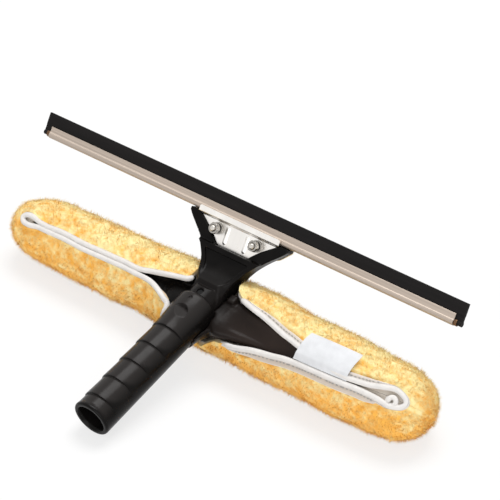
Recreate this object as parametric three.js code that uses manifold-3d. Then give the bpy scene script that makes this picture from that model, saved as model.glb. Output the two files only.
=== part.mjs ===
// Two-in-one window squeegee: a clamped rubber blade and a fleece washing sleeve on one handle.
// Millimetres, +Z up. X runs along the blade and Y away from the user. The tool lies on a table at
// Z = 0, on its sleeve and on the end of its handle, and the origin is the middle of its footprint.
import * as THREE from "three";
import { mergeVertices } from "three/addons/utils/BufferGeometryUtils.js";
import Module from "manifold-3d";

const { degToRad, clamp, smoothstep } = THREE.MathUtils;
const GAP = 0.3;

// Blade: rubber strip in a folded stainless channel. Heights count down from the wiping edge.
const RUBBER_LENGTH = 355.6;
const RUBBER_EXPOSED = 8.7;
const RUBBER_EDGE_HALF = 0.95;
const RUBBER_ROOT_HALF = 1.1;
const BEAD_RADIUS = 1.8;
const BEAD_DEPTH = 14.1;
const CHANNEL_LENGTH = 344;
const CHANNEL_BOTTOM = 17.05;
const CHANNEL_HALF = 3.1;
const CHANNEL_LIP_HALF = 2.0;
const CHANNEL_WALL = 0.75;
const CLIP_WIDTH = 2.2;
const CLIP_WALL = 0.5;

// Head: the blade plane leans back from the table, and its frame has Y up the blade and Z to the user
const HEAD_TILT = degToRad(59.4);
const BLADE_EDGE = new THREE.Vector3(0, 36.9, 93.1);

// Yoke that carries the blade, in the head frame
const YOKE_TOP = 17.4;
const ARM_SPAN = 41.2;
const WEB_BACK = -3.1;
const WEB_FRONT = 0.6;
const PANEL_TOP = 34.4;
const RIM_WIDTH = 3.6;
const SCOOP_DEPTH = 1.9;
const TONGUE_DEPTH = 41;

// Clamp: a pressed front plate with a lip over the channel, drawn onto the yoke by two M4 bolts
const PLATE_BACK = 0.95;
const PLATE_THICK = 1.2;
const PLATE_FRONT = PLATE_BACK + PLATE_THICK;
const PLATE_TRAVEL = 1.5;
const LIP_HALF = 34;
const LIP_TOP = 13.4;
const LIP_RISE = 2.5;
const BOLT_X = 16.6;
const BOLT_DEPTH = 24.2;
const BOLT_RADIUS = 2;
const BOLT_END = 9.3;
const HEX_FLATS = 7;
const NUT_HEIGHT = 3.2;
const FLAT_WASHER = 0.8;
const LOCK_WASHER = 1.0;
const JAW_HALF = 42;
const JAW_THICK = 1.3;
const JAW_TOP = 12.2;
const JAW_BOTTOM = 32;

// Handle, in a frame with Y from the open end up the handle and Z out of its stepped top
const HANDLE_RISE = degToRad(13.2);
const HANDLE_RADIUS = 13.8;
const HANDLE_END_Y = -128.1;
const HEAD_RADIUS = 15.1;
const SHOULDER_AT = 113.5;
const SPIGOT_RADIUS = 8.4;
const SPIGOT_END = 124.5;
const SOCKET_MOUTH = 10.9;
const SOCKET_RADIUS = 9.9;
const SOCKET_TIP_RADIUS = 9.4;
const SOCKET_DEPTH = 72;
const STEP_COUNT = 5;
const STEP_FIRST = 80.5;
const STEP_PITCH = 17.35;
const STEP_DEPTH = 1.5;
const STEP_SPREAD = 0.35;
const THUMB_AT = 94.6;
const THUMB_RADIUS = 6.3;
const THUMB_TILT = degToRad(14);
const GATE_AT = 108;
const SCREW_AT = 117.4;
const SCREW_SEAT = 9;
const SCREW_RADIUS = 1.1;
const SCREW_TIP = -4;
const COLLAR_RADIUS = 12.3;
const COLLAR_END = 128.5;
const RING_POINTS = 36;

// Washing sleeve round the T-bar. Angles turn about the sleeve's axis, up from the user's side.
const SLEEVE_HALF = 180;
const SLEEVE_AXIS_Z = 24.9;
const SLEEVE_ROUNDING = 30;
const SLEEVE_POINTS = 30;
const SLIT_MARGIN = 7;
const BINDING_RADIUS = 2;
const BINDING_SINK = 1.2;
const BINDING_STEPS = 100;
const T_BAR_HALF = 168;
const LABEL_X = [82, 123.5];
const LABEL_ANGLES = [34, 84];
const LABEL_THICK = 0.7;

const wasm = await Module();
wasm.setup();

// Closed geometry to a solid for joining and cutting
function solid(geometry) {
  const bare = new THREE.BufferGeometry().setAttribute("position", geometry.attributes.position);
  if (geometry.index) bare.setIndex(geometry.index);
  const merged = mergeVertices(bare, 1e-4);
  const vertProperties = merged.attributes.position.array;
  const triVerts = new Uint32Array(merged.index.array);
  return new wasm.Manifold(new wasm.Mesh({ numProp: 3, vertProperties, triVerts }));
}

function geometryOf(body) {
  const mesh = body.getMesh();
  const geometry = new THREE.BufferGeometry();
  geometry.setAttribute("position", new THREE.BufferAttribute(mesh.vertProperties, 3));
  return geometry.setIndex(new THREE.BufferAttribute(mesh.triVerts, 1));
}

function cut(body, ...tools) {
  return tools.reduce((left, tool) => left.subtract(tool), body);
}

// Smooth curve through [x, value] stations, read as a function of x
function through(stations) {
  const slopeAt = (i) => {
    const before = stations[Math.max(i - 1, 0)];
    const after = stations[Math.min(i + 1, stations.length - 1)];
    return (after[1] - before[1]) / (after[0] - before[0]);
  };
  return (x) => {
    const held = clamp(x, stations[0][0], stations.at(-1)[0]);
    const i = Math.max(stations.findIndex((s) => s[0] >= held) - 1, 0);
    const [x0, v0] = stations[i];
    const [x1, v1] = stations[i + 1];
    const s = (held - x0) / (x1 - x0);
    const span = x1 - x0;
    const fromStart = (1 + 2 * s) * (1 - s) ** 2 * v0 + s * (1 - s) ** 2 * span * slopeAt(i);
    const fromEnd = s * s * (3 - 2 * s) * v1 + s * s * (s - 1) * span * slopeAt(i + 1);
    return fromStart + fromEnd;
  };
}

// Skin over flat outlines with equal point counts, closed by a flat cap on each end.
// place(section, u, v) puts an outline point in space.
function loft(sections, place) {
  const count = sections[0].outline.length;
  const points = sections.flatMap((s) => s.outline.map((p) => place(s, p.x, p.y)));
  const index = [];
  for (let i = 0; i < sections.length - 1; i++)
    for (let k = 0; k < count; k++) {
      const a = i * count + k;
      const b = i * count + ((k + 1) % count);
      index.push(a, b, b + count, a, b + count, a + count);
    }
  const last = (sections.length - 1) * count;
  for (const [a, b, c] of capFaces(sections[0].outline)) index.push(c, b, a);
  for (const [a, b, c] of capFaces(sections.at(-1).outline)) index.push(last + a, last + b, last + c);
  const geometry = new THREE.BufferGeometry().setFromPoints(points);
  return geometry.setIndex(signedVolume(points, index) < 0 ? index.reverse() : index);
}

// Triangles over one flat outline, all turning the way the outline does
function capFaces(outline) {
  const turn = THREE.ShapeUtils.area(outline) < 0;
  return THREE.ShapeUtils.triangulateShape(outline, []).map((face) => {
    const area = THREE.ShapeUtils.area(face.map((i) => outline[i])) < 0;
    return area === turn ? face : [...face].reverse();
  });
}

function signedVolume(points, index) {
  let volume = 0;
  for (let i = 0; i < index.length; i += 3) {
    const [a, b, c] = [points[index[i]], points[index[i + 1]], points[index[i + 2]]];
    volume += a.dot(b.clone().cross(c));
  }
  return volume;
}

// Profile in the Y-Z plane carried along X, centred on X = centre
function bar(shape, length, centre = 0, curveSegments = 8) {
  const geometry = new THREE.ExtrudeGeometry(shape, { depth: length, bevelEnabled: false, curveSegments });
  const toYZ = new THREE.Matrix4().makeBasis(
    new THREE.Vector3(0, 1, 0),
    new THREE.Vector3(0, 0, 1),
    new THREE.Vector3(1, 0, 0),
  );
  return geometry.translate(0, 0, -length / 2).applyMatrix4(toYZ).translate(centre, 0, 0);
}

// Outline in the X-Y plane, from one height to another
function slab(shape, low, high, curveSegments = 8) {
  const options = { depth: high - low, bevelEnabled: false, curveSegments };
  return new THREE.ExtrudeGeometry(shape, options).translate(0, 0, low);
}

// Round or hexagonal rod along Z
function rod(radius, low, high, sides = 20) {
  const geometry = new THREE.CylinderGeometry(radius, radius, high - low, sides);
  return geometry.rotateX(Math.PI / 2).translate(0, 0, (low + high) / 2);
}

// Outline mirrored in X, from the points of its right half taken from top to bottom
function mirrored(right) {
  const left = right.map((p) => new THREE.Vector2(-p.x, p.y)).reverse();
  return new THREE.Shape([...right, ...left]);
}

function curvePoints(pairs, steps) {
  return new THREE.SplineCurve(pairs.map(([x, y]) => new THREE.Vector2(x, y))).getPoints(steps);
}

// Rubber strip: square wiping edge, slight taper and a round bead that the channel holds
function rubberBlade() {
  const neck = Math.asin(RUBBER_EDGE_HALF / BEAD_RADIUS);
  const shape = new THREE.Shape();
  shape.moveTo(0, -RUBBER_EDGE_HALF);
  shape.lineTo(0, RUBBER_EDGE_HALF);
  shape.lineTo(-RUBBER_EXPOSED + GAP, RUBBER_ROOT_HALF);
  shape.lineTo(-RUBBER_EXPOSED, RUBBER_EDGE_HALF);
  shape.absarc(-BEAD_DEPTH, 0, BEAD_RADIUS, neck, 2 * Math.PI - neck, false);
  shape.lineTo(-RUBBER_EXPOSED, -RUBBER_EDGE_HALF);
  shape.lineTo(-RUBBER_EXPOSED + GAP, -RUBBER_ROOT_HALF);
  return bar(shape, RUBBER_LENGTH, 0, 16);
}

// Folded channel: flat upper walls, a step, and a fuller lower bead, open along the top
function bladeChannel() {
  const waist = -12.2;
  const belly = -14.6;
  const side = (inset, path, sign) => {
    const lip = CHANNEL_LIP_HALF - inset;
    const half = CHANNEL_HALF - inset;
    const floor = -CHANNEL_BOTTOM + inset;
    if (sign > 0) {
      path.lineTo(waist, lip + 0.2);
      path.bezierCurveTo(waist - 0.7, lip + 0.2, belly + 1.6, half, belly, half);
      path.quadraticCurveTo(floor, half, floor, 0);
    } else {
      path.quadraticCurveTo(floor, -half, belly, -half);
      path.bezierCurveTo(belly + 1.6, -half, waist - 0.7, -lip - 0.2, waist, -lip - 0.2);
      path.lineTo(-RUBBER_EXPOSED, -lip);
    }
  };
  const outer = new THREE.Path().moveTo(-RUBBER_EXPOSED, CHANNEL_LIP_HALF);
  side(0, outer, 1);
  side(0, outer, -1);
  const inner = new THREE.Path().moveTo(-RUBBER_EXPOSED, CHANNEL_LIP_HALF - CHANNEL_WALL);
  side(CHANNEL_WALL, inner, 1);
  side(CHANNEL_WALL, inner, -1);
  const outline = [...outer.getPoints(6), ...inner.getPoints(6).reverse()];
  return bar(new THREE.Shape(outline), CHANNEL_LENGTH);
}

// Spring clip: a strip curled round the rubber's bead just outside the end of the channel
function endClip(sideX) {
  const open = degToRad(48);
  const inside = BEAD_RADIUS + GAP;
  const shape = new THREE.Shape();
  shape.absarc(-BEAD_DEPTH, 0, inside + CLIP_WALL, open, 2 * Math.PI - open, false);
  shape.absarc(-BEAD_DEPTH, 0, inside, 2 * Math.PI - open, open, true);
  const centre = sideX * (CHANNEL_LENGTH / 2 + GAP + CLIP_WIDTH / 2);
  return bar(shape, CLIP_WIDTH, centre, 14);
}

// Outer edge of the yoke from an arm's tip down to its neck, and the inner edge of the arm
const yokeEdge = [[41.2, -19.5], [37.6, -23.4], [27.6, -32.6], [19.6, -42], [14.9, -51.5], [12.7, -60]];
const armInside = [[36.2, -16], [30, -20.6], [22.4, -26.2], [17, -31], [13.8, -PANEL_TOP]];
const NECK_BOTTOM = 70;

function yokeOutline(grow) {
  const edge = curvePoints(yokeEdge, 20);
  const right = [new THREE.Vector2(ARM_SPAN, -YOKE_TOP), ...edge, new THREE.Vector2(12.3, -NECK_BOTTOM)];
  const grown = right.map((p) => new THREE.Vector2(p.x + grow, p.y));
  grown.at(-1).y -= grow;
  return mirrored(grown);
}

// Side view of the yoke: front line along the low arms, up a ledge, and down the panel to the collar,
// then back up the rear
const armFront = [[-YOKE_TOP, 3.7], [-PANEL_TOP + 0.8, 4.3]];
const panelFront = [[-PANEL_TOP - 0.3, 6.9], [-42, 8.5], [-47.5, 10.4], [-52.5, 13.8], [-56.5, 18.6]];
const yokeRear = [[-NECK_BOTTOM, 3.5], [-60, 1.2], [-52, -1.4], [-44, -2.8], [-38, WEB_BACK]];

// The front line may be lowered by a depth that fades out towards the collar
function yokeSide(depth, grow) {
  const arm = armFront.map(([y, z]) => new THREE.Vector2(y, z));
  const front = [...arm, ...curvePoints(panelFront, 16)].map((p) => {
    const lowered = depth * smoothstep(p.x, -57, -46);
    return new THREE.Vector2(p.x, p.y - lowered + grow);
  });
  const rear = curvePoints(yokeRear, 14).map((p) => new THREE.Vector2(p.x, p.y - grow));
  const neckFront = new THREE.Vector2(-NECK_BOTTOM - grow, 18.6 + grow);
  const rearTop = new THREE.Vector2(-YOKE_TOP, WEB_BACK - grow);
  return new THREE.Shape([...front, neckFront, ...rear, rearTop]);
}

// The yoke's moulded body, made where its front outline and its side view agree
function yokeBody(grow) {
  const face = solid(slab(yokeOutline(grow), -20, 40));
  return face.intersect(solid(bar(yokeSide(0, grow), 3 * ARM_SPAN)));
}

// Frame changes between the whole tool, the head and the handle
const headMatrix = new THREE.Matrix4().makeRotationX(HEAD_TILT).setPosition(BLADE_EDGE);
const handleEnd = new THREE.Vector3(0, HANDLE_END_Y, HANDLE_RADIUS * Math.cos(HANDLE_RISE));
const handleMatrix = new THREE.Matrix4().makeRotationX(HANDLE_RISE).setPosition(handleEnd);
const handleToHead = headMatrix.clone().invert().multiply(handleMatrix);

// Rod along the handle's axis, in the handle frame
function axialRod(radius, start, end, sides = RING_POINTS) {
  const geometry = new THREE.CylinderGeometry(radius, radius, end - start, sides);
  return geometry.translate(0, (start + end) / 2, 0);
}

// Round collar on the handle's axis with a softened far end
function collar(grow) {
  const r = COLLAR_RADIUS + grow;
  const end = COLLAR_END + grow;
  const start = SHOULDER_AT + GAP - grow;
  const profile = [[0, start], [r, start], [r, end - 4], [r - 1.2, end - 1.2], [r - 4, end], [0, end]];
  return new THREE.LatheGeometry(profile.map(([x, y]) => new THREE.Vector2(x, y)), RING_POINTS);
}

// Trumpet on the handle's axis that rounds the neck off between the collar and the panel
function neckFlare() {
  const flare = [[12.6, 100], [12.6, 119], [13.4, 124], [15.4, 129], [18.8, 134.5], [25, 141], [60, 156], [60, 200]];
  const profile = [[0, 100], ...flare, [0, 200]].map(([x, y]) => new THREE.Vector2(x, y));
  return new THREE.LatheGeometry(profile, RING_POINTS);
}

// Hole square to the handle's top at the yoke screw, from one height up
function screwHole(radius, low) {
  return rod(radius, low, 30, 16).translate(0, SCREW_AT, 0);
}

// Clearance holes for the two clamp bolts, in the head frame
function boltHoles() {
  const hole = (x) => solid(rod(BOLT_RADIUS + GAP, -20, 20).translate(x, -BOLT_DEPTH, 0));
  return [hole(-BOLT_X), hole(BOLT_X)];
}

// Yoke: two low curved arms and a web behind the clamp plate, a scooped front panel between raised
// rims, a rounded neck, and a collar that takes the spigot of the handle
function squeegeeYoke() {
  const pocketEdge = [new THREE.Vector2(36.2, -10), ...curvePoints(armInside, 12)];
  const pocket = solid(slab(mirrored(pocketEdge), WEB_FRONT, 40));
  const tongue = new THREE.Shape();
  tongue.moveTo(-13.8, -PANEL_TOP + 1);
  tongue.lineTo(13.8, -PANEL_TOP + 1);
  tongue.lineTo(9.6, -TONGUE_DEPTH - 2 * GAP);
  tongue.lineTo(-9.6, -TONGUE_DEPTH - 2 * GAP);
  const tongueSlot = solid(slab(tongue, WEB_FRONT, PLATE_FRONT + PLATE_TRAVEL + GAP));
  const scoopEdge = curvePoints(yokeEdge.slice(2), 14).filter((p) => p.y < -PANEL_TOP - RIM_WIDTH);
  const scoopRight = scoopEdge.map((p) => new THREE.Vector2(p.x - RIM_WIDTH, p.y));
  const scoopFace = solid(slab(mirrored(scoopRight), 0, 40));
  const scoop = scoopFace.subtract(solid(bar(yokeSide(SCOOP_DEPTH, 0), 3 * ARM_SPAN)));
  const spigotBore = axialRod(SPIGOT_RADIUS + GAP, 100, SPIGOT_END + GAP).applyMatrix4(handleToHead);
  const faceTrim = axialRod(3 * COLLAR_RADIUS, 60, SHOULDER_AT + GAP).applyMatrix4(handleToHead);
  const body = yokeBody(0).intersect(solid(neckFlare().applyMatrix4(handleToHead)));
  const joined = body.add(solid(collar(0).applyMatrix4(handleToHead)));
  const counterbore = solid(screwHole(2.3, SCREW_SEAT).applyMatrix4(handleToHead));
  const drilled = counterbore.add(solid(screwHole(SCREW_RADIUS + GAP, 0).applyMatrix4(handleToHead)));
  return cut(joined, pocket, tongueSlot, scoop, ...boltHoles(), solid(spigotBore), solid(faceTrim), drilled);
}

// Pressed plate: an S-bent lip along the top, ribs between the bolts, and a tongue under the panel
function clampPlate() {
  const lipBack = PLATE_BACK + LIP_RISE;
  const lipFront = PLATE_FRONT + LIP_RISE;
  const side = new THREE.Shape();
  side.moveTo(-LIP_TOP, lipBack);
  side.lineTo(-LIP_TOP - 0.4, lipFront);
  side.lineTo(-17.1, lipFront);
  side.bezierCurveTo(-18.4, lipFront, -18.2, PLATE_FRONT, -19.4, PLATE_FRONT);
  side.lineTo(-TONGUE_DEPTH, PLATE_FRONT);
  side.lineTo(-TONGUE_DEPTH, PLATE_BACK);
  side.lineTo(-19.6, PLATE_BACK);
  side.bezierCurveTo(-18.8, PLATE_BACK, -18.8, lipBack, -17.4, lipBack);
  const edge = curvePoints(armInside, 12).filter((p) => p.y < -18.6);
  const flank = edge.map((p) => new THREE.Vector2(p.x - 2 * GAP, p.y));
  const corner = [new THREE.Vector2(LIP_HALF, -10), new THREE.Vector2(LIP_HALF, -17.4)];
  const right = [...corner, ...flank, new THREE.Vector2(9, -TONGUE_DEPTH)];
  const face = solid(slab(mirrored(right), -5, 15));
  const ribs = [-8.2, 8.2].map((x) => {
    const rib = new THREE.CapsuleGeometry(1, 9.5, 4, 10).scale(1, 1, 0.75);
    return solid(rib.translate(x, -26.4, PLATE_FRONT));
  });
  const pressed = ribs.reduce((body, rib) => body.add(rib), face.intersect(solid(bar(side, 3 * ARM_SPAN))));
  return cut(pressed, ...boltHoles());
}

// Heights of the stack on each bolt, from the rear jaw to the nut
const jawFront = WEB_BACK - GAP;
const boltSeat = jawFront - JAW_THICK - GAP;
const flatWasherLow = PLATE_FRONT + GAP;
const lockWasherLow = flatWasherLow + FLAT_WASHER + GAP;
const nutLow = lockWasherLow + LOCK_WASHER + GAP;
const hexRadius = HEX_FLATS / Math.sqrt(3);

// Flat backing plate behind the yoke and the channel, with its lower corners cut away
function rearJaw() {
  const corners = [[JAW_HALF, -JAW_TOP], [JAW_HALF, -19.5], [34, -27.5], [24, -JAW_BOTTOM]];
  const outline = mirrored(corners.map(([x, y]) => new THREE.Vector2(x, y)));
  return cut(solid(slab(outline, jawFront - JAW_THICK, jawFront)), ...boltHoles());
}

// Hexagon bolt from the rear, headed against the rear jaw, with a chamfered end
function clampBolt(x) {
  const head = solid(rod(hexRadius, boltSeat - 2.8, boltSeat, 6));
  const shank = solid(rod(BOLT_RADIUS, boltSeat - 1, BOLT_END - 0.5, 16));
  const tip = new THREE.CylinderGeometry(BOLT_RADIUS, BOLT_RADIUS - 0.5, 0.5, 16).rotateX(-Math.PI / 2);
  return head.add(shank).add(solid(tip.translate(0, 0, BOLT_END - 0.25))).translate([x, -BOLT_DEPTH, 0]);
}

function ring(outer, inner, low, high, sides = 24) {
  return solid(rod(outer, low, high, sides)).subtract(solid(rod(inner, low - 1, high + 1, 24)));
}

// Split spring washer: a ring with a slanted gap
function lockWasher() {
  const body = ring(3.4, BOLT_RADIUS + GAP, lockWasherLow, lockWasherLow + LOCK_WASHER);
  const gap = new THREE.BoxGeometry(0.6, 4, 6).rotateY(degToRad(25));
  return body.subtract(solid(gap.translate(0, -3.6, lockWasherLow)));
}

// Nut with its corners turned off, as an intersection of the hexagon and a double cone
function clampNut() {
  const top = nutLow + NUT_HEIGHT;
  const profile = [[0, nutLow], [3.6, nutLow], [4.3, nutLow + 0.5], [4.3, top - 0.5], [3.6, top], [0, top]];
  const turned = new THREE.LatheGeometry(profile.map(([x, y]) => new THREE.Vector2(x, y)), 24);
  const hexagon = ring(hexRadius, BOLT_RADIUS + 0.1, nutLow, top, 6);
  return hexagon.intersect(solid(turned.rotateX(Math.PI / 2)));
}

// Radius of the handle's round body, without the grip steps
const handleRadius = through([
  [0, 12.6], [0.6, 13.4], [1.8, HANDLE_RADIUS], [6, HANDLE_RADIUS], [84, 13.7],
  [96, 14.4], [106, HEAD_RADIUS], [110.5, HEAD_RADIUS], [112.6, 14.3], [SHOULDER_AT, 12.9],
]);

// Depth of the grip cut below the round body: each step starts deep at its head end and runs out
// towards the open end, as a cylinder tipped along the handle would cut it
function stepDepth(along, angle) {
  const first = STEP_FIRST;
  const last = STEP_FIRST - STEP_PITCH * STEP_COUNT;
  if (along > first || along < last) return 0;
  const run = ((first - along) % STEP_PITCH) / STEP_PITCH;
  const fade = smoothstep(along, 0.5, 5);
  const drop = (STEP_DEPTH + STEP_SPREAD) * (1 - 0.72 * run);
  return fade * Math.max(drop * Math.cos(angle) - STEP_SPREAD, 0);
}

function handleOutline(along, grow, stepped) {
  const outline = [];
  for (let k = 0; k < RING_POINTS; k++) {
    const angle = (2 * Math.PI * k) / RING_POINTS;
    const depth = stepped ? stepDepth(along, angle) : 0;
    const r = handleRadius(along) + grow - depth;
    outline.push(new THREE.Vector2(r * Math.sin(angle), r * Math.cos(angle)));
  }
  return outline;
}

const onHandle = (section, u, v) => new THREE.Vector3(u, section.at, v);

// Handle: stepped grip with a tapered pole socket, a thumb recess, and a spigot for the yoke
function handleGrip() {
  const stations = [0, 0.6, 1.8, 4];
  for (let step = STEP_COUNT - 1; step >= 0; step--) {
    const edge = STEP_FIRST - step * STEP_PITCH;
    stations.push(edge - 0.01, edge + 0.45);
    if (step > 0) stations.push(edge + STEP_PITCH / 2);
  }
  stations.push(86, 91, 96, 101, 106, 110.5, 112.6, SHOULDER_AT);
  const sections = stations.map((at) => ({ at, outline: handleOutline(at, 0, true) }));
  const body = solid(loft(sections, onHandle));
  const spigot = solid(axialRod(SPIGOT_RADIUS, SHOULDER_AT - 2, SPIGOT_END, 28));
  const bore = [
    [0, -1], [SOCKET_MOUTH + 0.4, -1], [SOCKET_MOUTH, 0], [SOCKET_RADIUS, 2.5],
    [SOCKET_TIP_RADIUS, SOCKET_DEPTH - 3], [SOCKET_TIP_RADIUS - 4, SOCKET_DEPTH], [0, SOCKET_DEPTH],
  ];
  const socket = new THREE.LatheGeometry(bore.map(([x, y]) => new THREE.Vector2(x, y)), 32);
  const thumb = rod(THUMB_RADIUS, 0, 8, 28).rotateX(-THUMB_TILT);
  const recess = solid(thumb.translate(0, THUMB_AT, handleRadius(THUMB_AT) - 0.4));
  const pilot = solid(screwHole(SCREW_RADIUS + GAP, SCREW_TIP - GAP));
  const pilots = pilot.add(solid(baseScrewHole(SCREW_RADIUS + GAP)));
  const gate = solid(rod(1.1, HEAD_RADIUS - 1.2, 30, 12).translate(0, GATE_AT, 0));
  return cut(body.add(spigot), solid(socket), recess, pilots, gate);
}

// T-bar stations along X: centre of the section, lean of its width, half width, half thickness
const T_BAR_STATIONS = [
  { x: 0, y: -11.6, z: 32.8, lean: 13.2, half: 13.4, thick: 9.8 },
  { x: 14, y: -11.8, z: 33, lean: 13.2, half: 13.8, thick: 9.6 },
  { x: 21, y: -14.9, z: 36.8, lean: 17, half: 15, thick: 4.8 },
  { x: 30, y: -13.6, z: 35.9, lean: 27, half: 12.8, thick: 4.8 },
  { x: 40, y: -12.2, z: 35, lean: 35, half: 10.8, thick: 4.4 },
  { x: 53, y: -10.9, z: 34, lean: 41, half: 9.4, thick: 4.2 },
  { x: 66, y: -10, z: 33.2, lean: 43.5, half: 8.8, thick: 4 },
  { x: 80, y: -9, z: 32.4, lean: 45, half: 8.6, thick: 4 },
  { x: 100, y: -7.6, z: 31.2, lean: 45, half: 8.8, thick: 4.2 },
  { x: 120, y: -6.5, z: 30.4, lean: 45, half: 9, thick: 4.5 },
  { x: T_BAR_HALF, y: -6.5, z: 30.4, lean: 45, half: 9, thick: 4.5 },
];
const tBar = Object.fromEntries(
  ["y", "z", "lean", "half", "thick"].map((key) => [key, through(T_BAR_STATIONS.map((s) => [s.x, s[key]]))]),
);

// Rounded section of the T-bar, with the wings dished on the user's side
function tBarOutline(x, grow, points) {
  const half = tBar.half(x) + grow;
  const thick = tBar.thick(x) + grow;
  const dish = grow > 0 ? 0 : 2.2 * smoothstep(x, 22, 34) * (1 - smoothstep(x, 50, 68));
  const squared = (value) => Math.sign(value) * Math.abs(value) ** 0.5;
  const outline = [];
  for (let k = 0; k < points; k++) {
    const angle = (2 * Math.PI * (k + 0.5)) / points;
    const p = half * squared(Math.cos(angle));
    const q = thick * squared(Math.sin(angle));
    const hollow = q > 0 ? dish * Math.max(1 - (p / (0.72 * half)) ** 2, 0) : 0;
    outline.push(new THREE.Vector2(p, q - hollow));
  }
  return outline;
}

function tBarSkin(grow, points) {
  const right = [0, 14, 17.5, 21, 25, 30, 35, 40, 46, 53, 60, 68, 80, 100, 120, T_BAR_HALF + grow];
  const stations = [...right.slice(1).map((x) => -x).reverse(), ...right];
  const sections = stations.map((x) => ({ x, outline: tBarOutline(Math.abs(x), grow, points) }));
  return loft(sections, ({ x }, p, q) => {
    const lean = degToRad(tBar.lean(Math.abs(x)));
    const y = tBar.y(Math.abs(x)) + p * Math.cos(lean) - q * Math.sin(lean);
    const z = tBar.z(Math.abs(x)) + p * Math.sin(lean) + q * Math.cos(lean);
    return new THREE.Vector3(x, y, z);
  });
}

const BASE_SCREW_AT = 107;

function baseScrewHole(radius) {
  return rod(radius, -30, -11).translate(0, BASE_SCREW_AT, 0);
}

// Plain envelope of the handle and its collar, for the pieces that fit round them
function handleEnvelope(grow) {
  const stations = [60, 84, 90, 96, 101, 106, 110.5, 112.6, SHOULDER_AT];
  const sections = stations.map((at) => ({ at, outline: handleOutline(at, grow, false) }));
  const body = solid(loft(sections, onHandle)).add(solid(collar(grow)));
  return body.transform(handleMatrix.elements);
}

function neckEnvelope(grow) {
  return yokeBody(grow).transform(headMatrix.elements);
}

// Skirt that flares out under the handle towards the saddle, and a lug at the root of each wing
function wingRoots(grow) {
  const flare = [[14.6, 87], [15.2, 92], [16.4, 97], [18.2, 101], [20.2, 104.5], [20.2, 109]];
  const profile = flare.map(([radius, along]) => new THREE.Vector2(radius + grow, along));
  profile[0].y -= grow;
  const cone = [new THREE.Vector2(0, profile[0].y), ...profile, new THREE.Vector2(0, 109)];
  const lowerHalf = new THREE.BoxGeometry(80, 200, 40).translate(0, 100, -21 + grow);
  const skirt = solid(new THREE.LatheGeometry(cone, RING_POINTS)).intersect(solid(lowerHalf));
  const lugs = [-1, 1].map((side) => {
    const lug = new THREE.BoxGeometry(6 + 2 * grow, 7 + 2 * grow, 9 + 2 * grow);
    return solid(lug.translate(side * 18.6, 127.5, 0.5));
  });
  return [skirt, ...lugs].map((part) => part.transform(handleMatrix.elements));
}

// T-bar: a saddle under the head of the handle, dished wings and the bar inside the sleeve
function tBarMoulding() {
  const skin = wingRoots(0).reduce((body, part) => body.add(part), solid(tBarSkin(0, 20)));
  const hole = solid(baseScrewHole(SCREW_RADIUS + GAP).applyMatrix4(handleMatrix));
  const headRoom = rod(3.4, -40, -HEAD_RADIUS - 2).translate(0, BASE_SCREW_AT, 0).applyMatrix4(handleMatrix);
  return cut(skin, handleEnvelope(GAP), neckEnvelope(2 * GAP), hole, solid(headRoom));
}

// Pan-head screw along Z: head from low up, shank above or below it
function panScrew(headLow, headHigh, headRadius, shankEnd, shankRadius) {
  const head = solid(rod(headRadius, headLow, headHigh, 16));
  const shankFrom = (headLow + headHigh) / 2;
  const shank = rod(shankRadius, Math.min(shankFrom, shankEnd), Math.max(shankFrom, shankEnd), 12);
  return head.add(solid(shank));
}

// Sleeve radius along X: slimmer at the left, fuller where it opens round the wings and to the right
const sleeveRadius = through([
  [-180, 22.6], [-150, 23.2], [-100, 24.1], [-55, 24.9], [-30, 27], [0, 28], [40, 29], [72, 27.4],
  [108, 28.6], [140, 27.4], [180, 25.6],
]);

function sleeveReach(x) {
  const past = Math.max(Math.abs(x) - (SLEEVE_HALF - SLEEVE_ROUNDING), 0) / SLEEVE_ROUNDING;
  return sleeveRadius(x) * (1 - Math.min(past, 1) ** 2.4) ** (1 / 2.4);
}

const aroundSleeve = (x, radius, degrees) => {
  const angle = degToRad(degrees);
  return new THREE.Vector3(x, -radius * Math.cos(angle), SLEEVE_AXIS_Z + radius * Math.sin(angle));
};

// Centre line of the sewn binding round the slit, as [x, angle, lift off the sleeve]: along the upper
// lip to the right, round the right loop, and back along the lower lip to the left loop
const UPPER_LIP = [
  [-146, 49.5], [-124, 49.8], [-97, 50.5], [-70, 51.3], [-54, 52], [-44, 57], [-31, 64], [-23, 74],
  [-20, 88], [-20, 104], [-17.6, 120], [-11, 131], [0, 134], [11, 132], [18, 120, -1], [20, 104, -3.4],
  [23.6, 89, -3.6], [26, 78.5, -2], [33, 71, -0.4], [46, 66], [64, 59], [80, 52], [100, 44.5],
  [123, 42], [140, 49], [152, 57],
];
const RIGHT_LOOP = [[161, 59.5], [168, 55], [170.5, 45.5], [167.5, 36.5], [160, 33.5]];
const LOWER_LIP = [
  [150, 34.5], [135, 34], [117, 32.5], [88, 31], [70, 26], [52, 18.5], [36, 9.5], [27, 5],
  [20.5, -1, -0.4], [16, -13, 1.6], [9, -22, 2.4], [0, -26, 2.2], [-9, -23, 2.6], [-15, -16, 3.4],
  [-18.4, -7, 5], [-18.6, 5, 7.4], [-18.8, 19, 8.4], [-21.6, 31, 6.6], [-29.5, 36, 4], [-36.5, 40, 2.2],
  [-43, 42.3, 1], [-54, 42.8], [-72, 42.4], [-97, 41.3], [-124, 40.6], [-145, 40],
];
const LEFT_LOOP = [[-152, 36.5], [-157.5, 37], [-160.5, 44.5], [-157.5, 52.5], [-152, 53]];

function bindingPoint([x, degrees, lift = 0]) {
  return aroundSleeve(x, sleeveReach(x) - BINDING_SINK + lift, degrees);
}

function bindingTube() {
  const points = [...UPPER_LIP, ...RIGHT_LOOP, ...LOWER_LIP, ...LEFT_LOOP].map(bindingPoint);
  const route = new THREE.CatmullRomCurve3(points, true, "centripetal");
  return new THREE.TubeGeometry(route, BINDING_STEPS, BINDING_RADIUS, 6, true);
}

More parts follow.
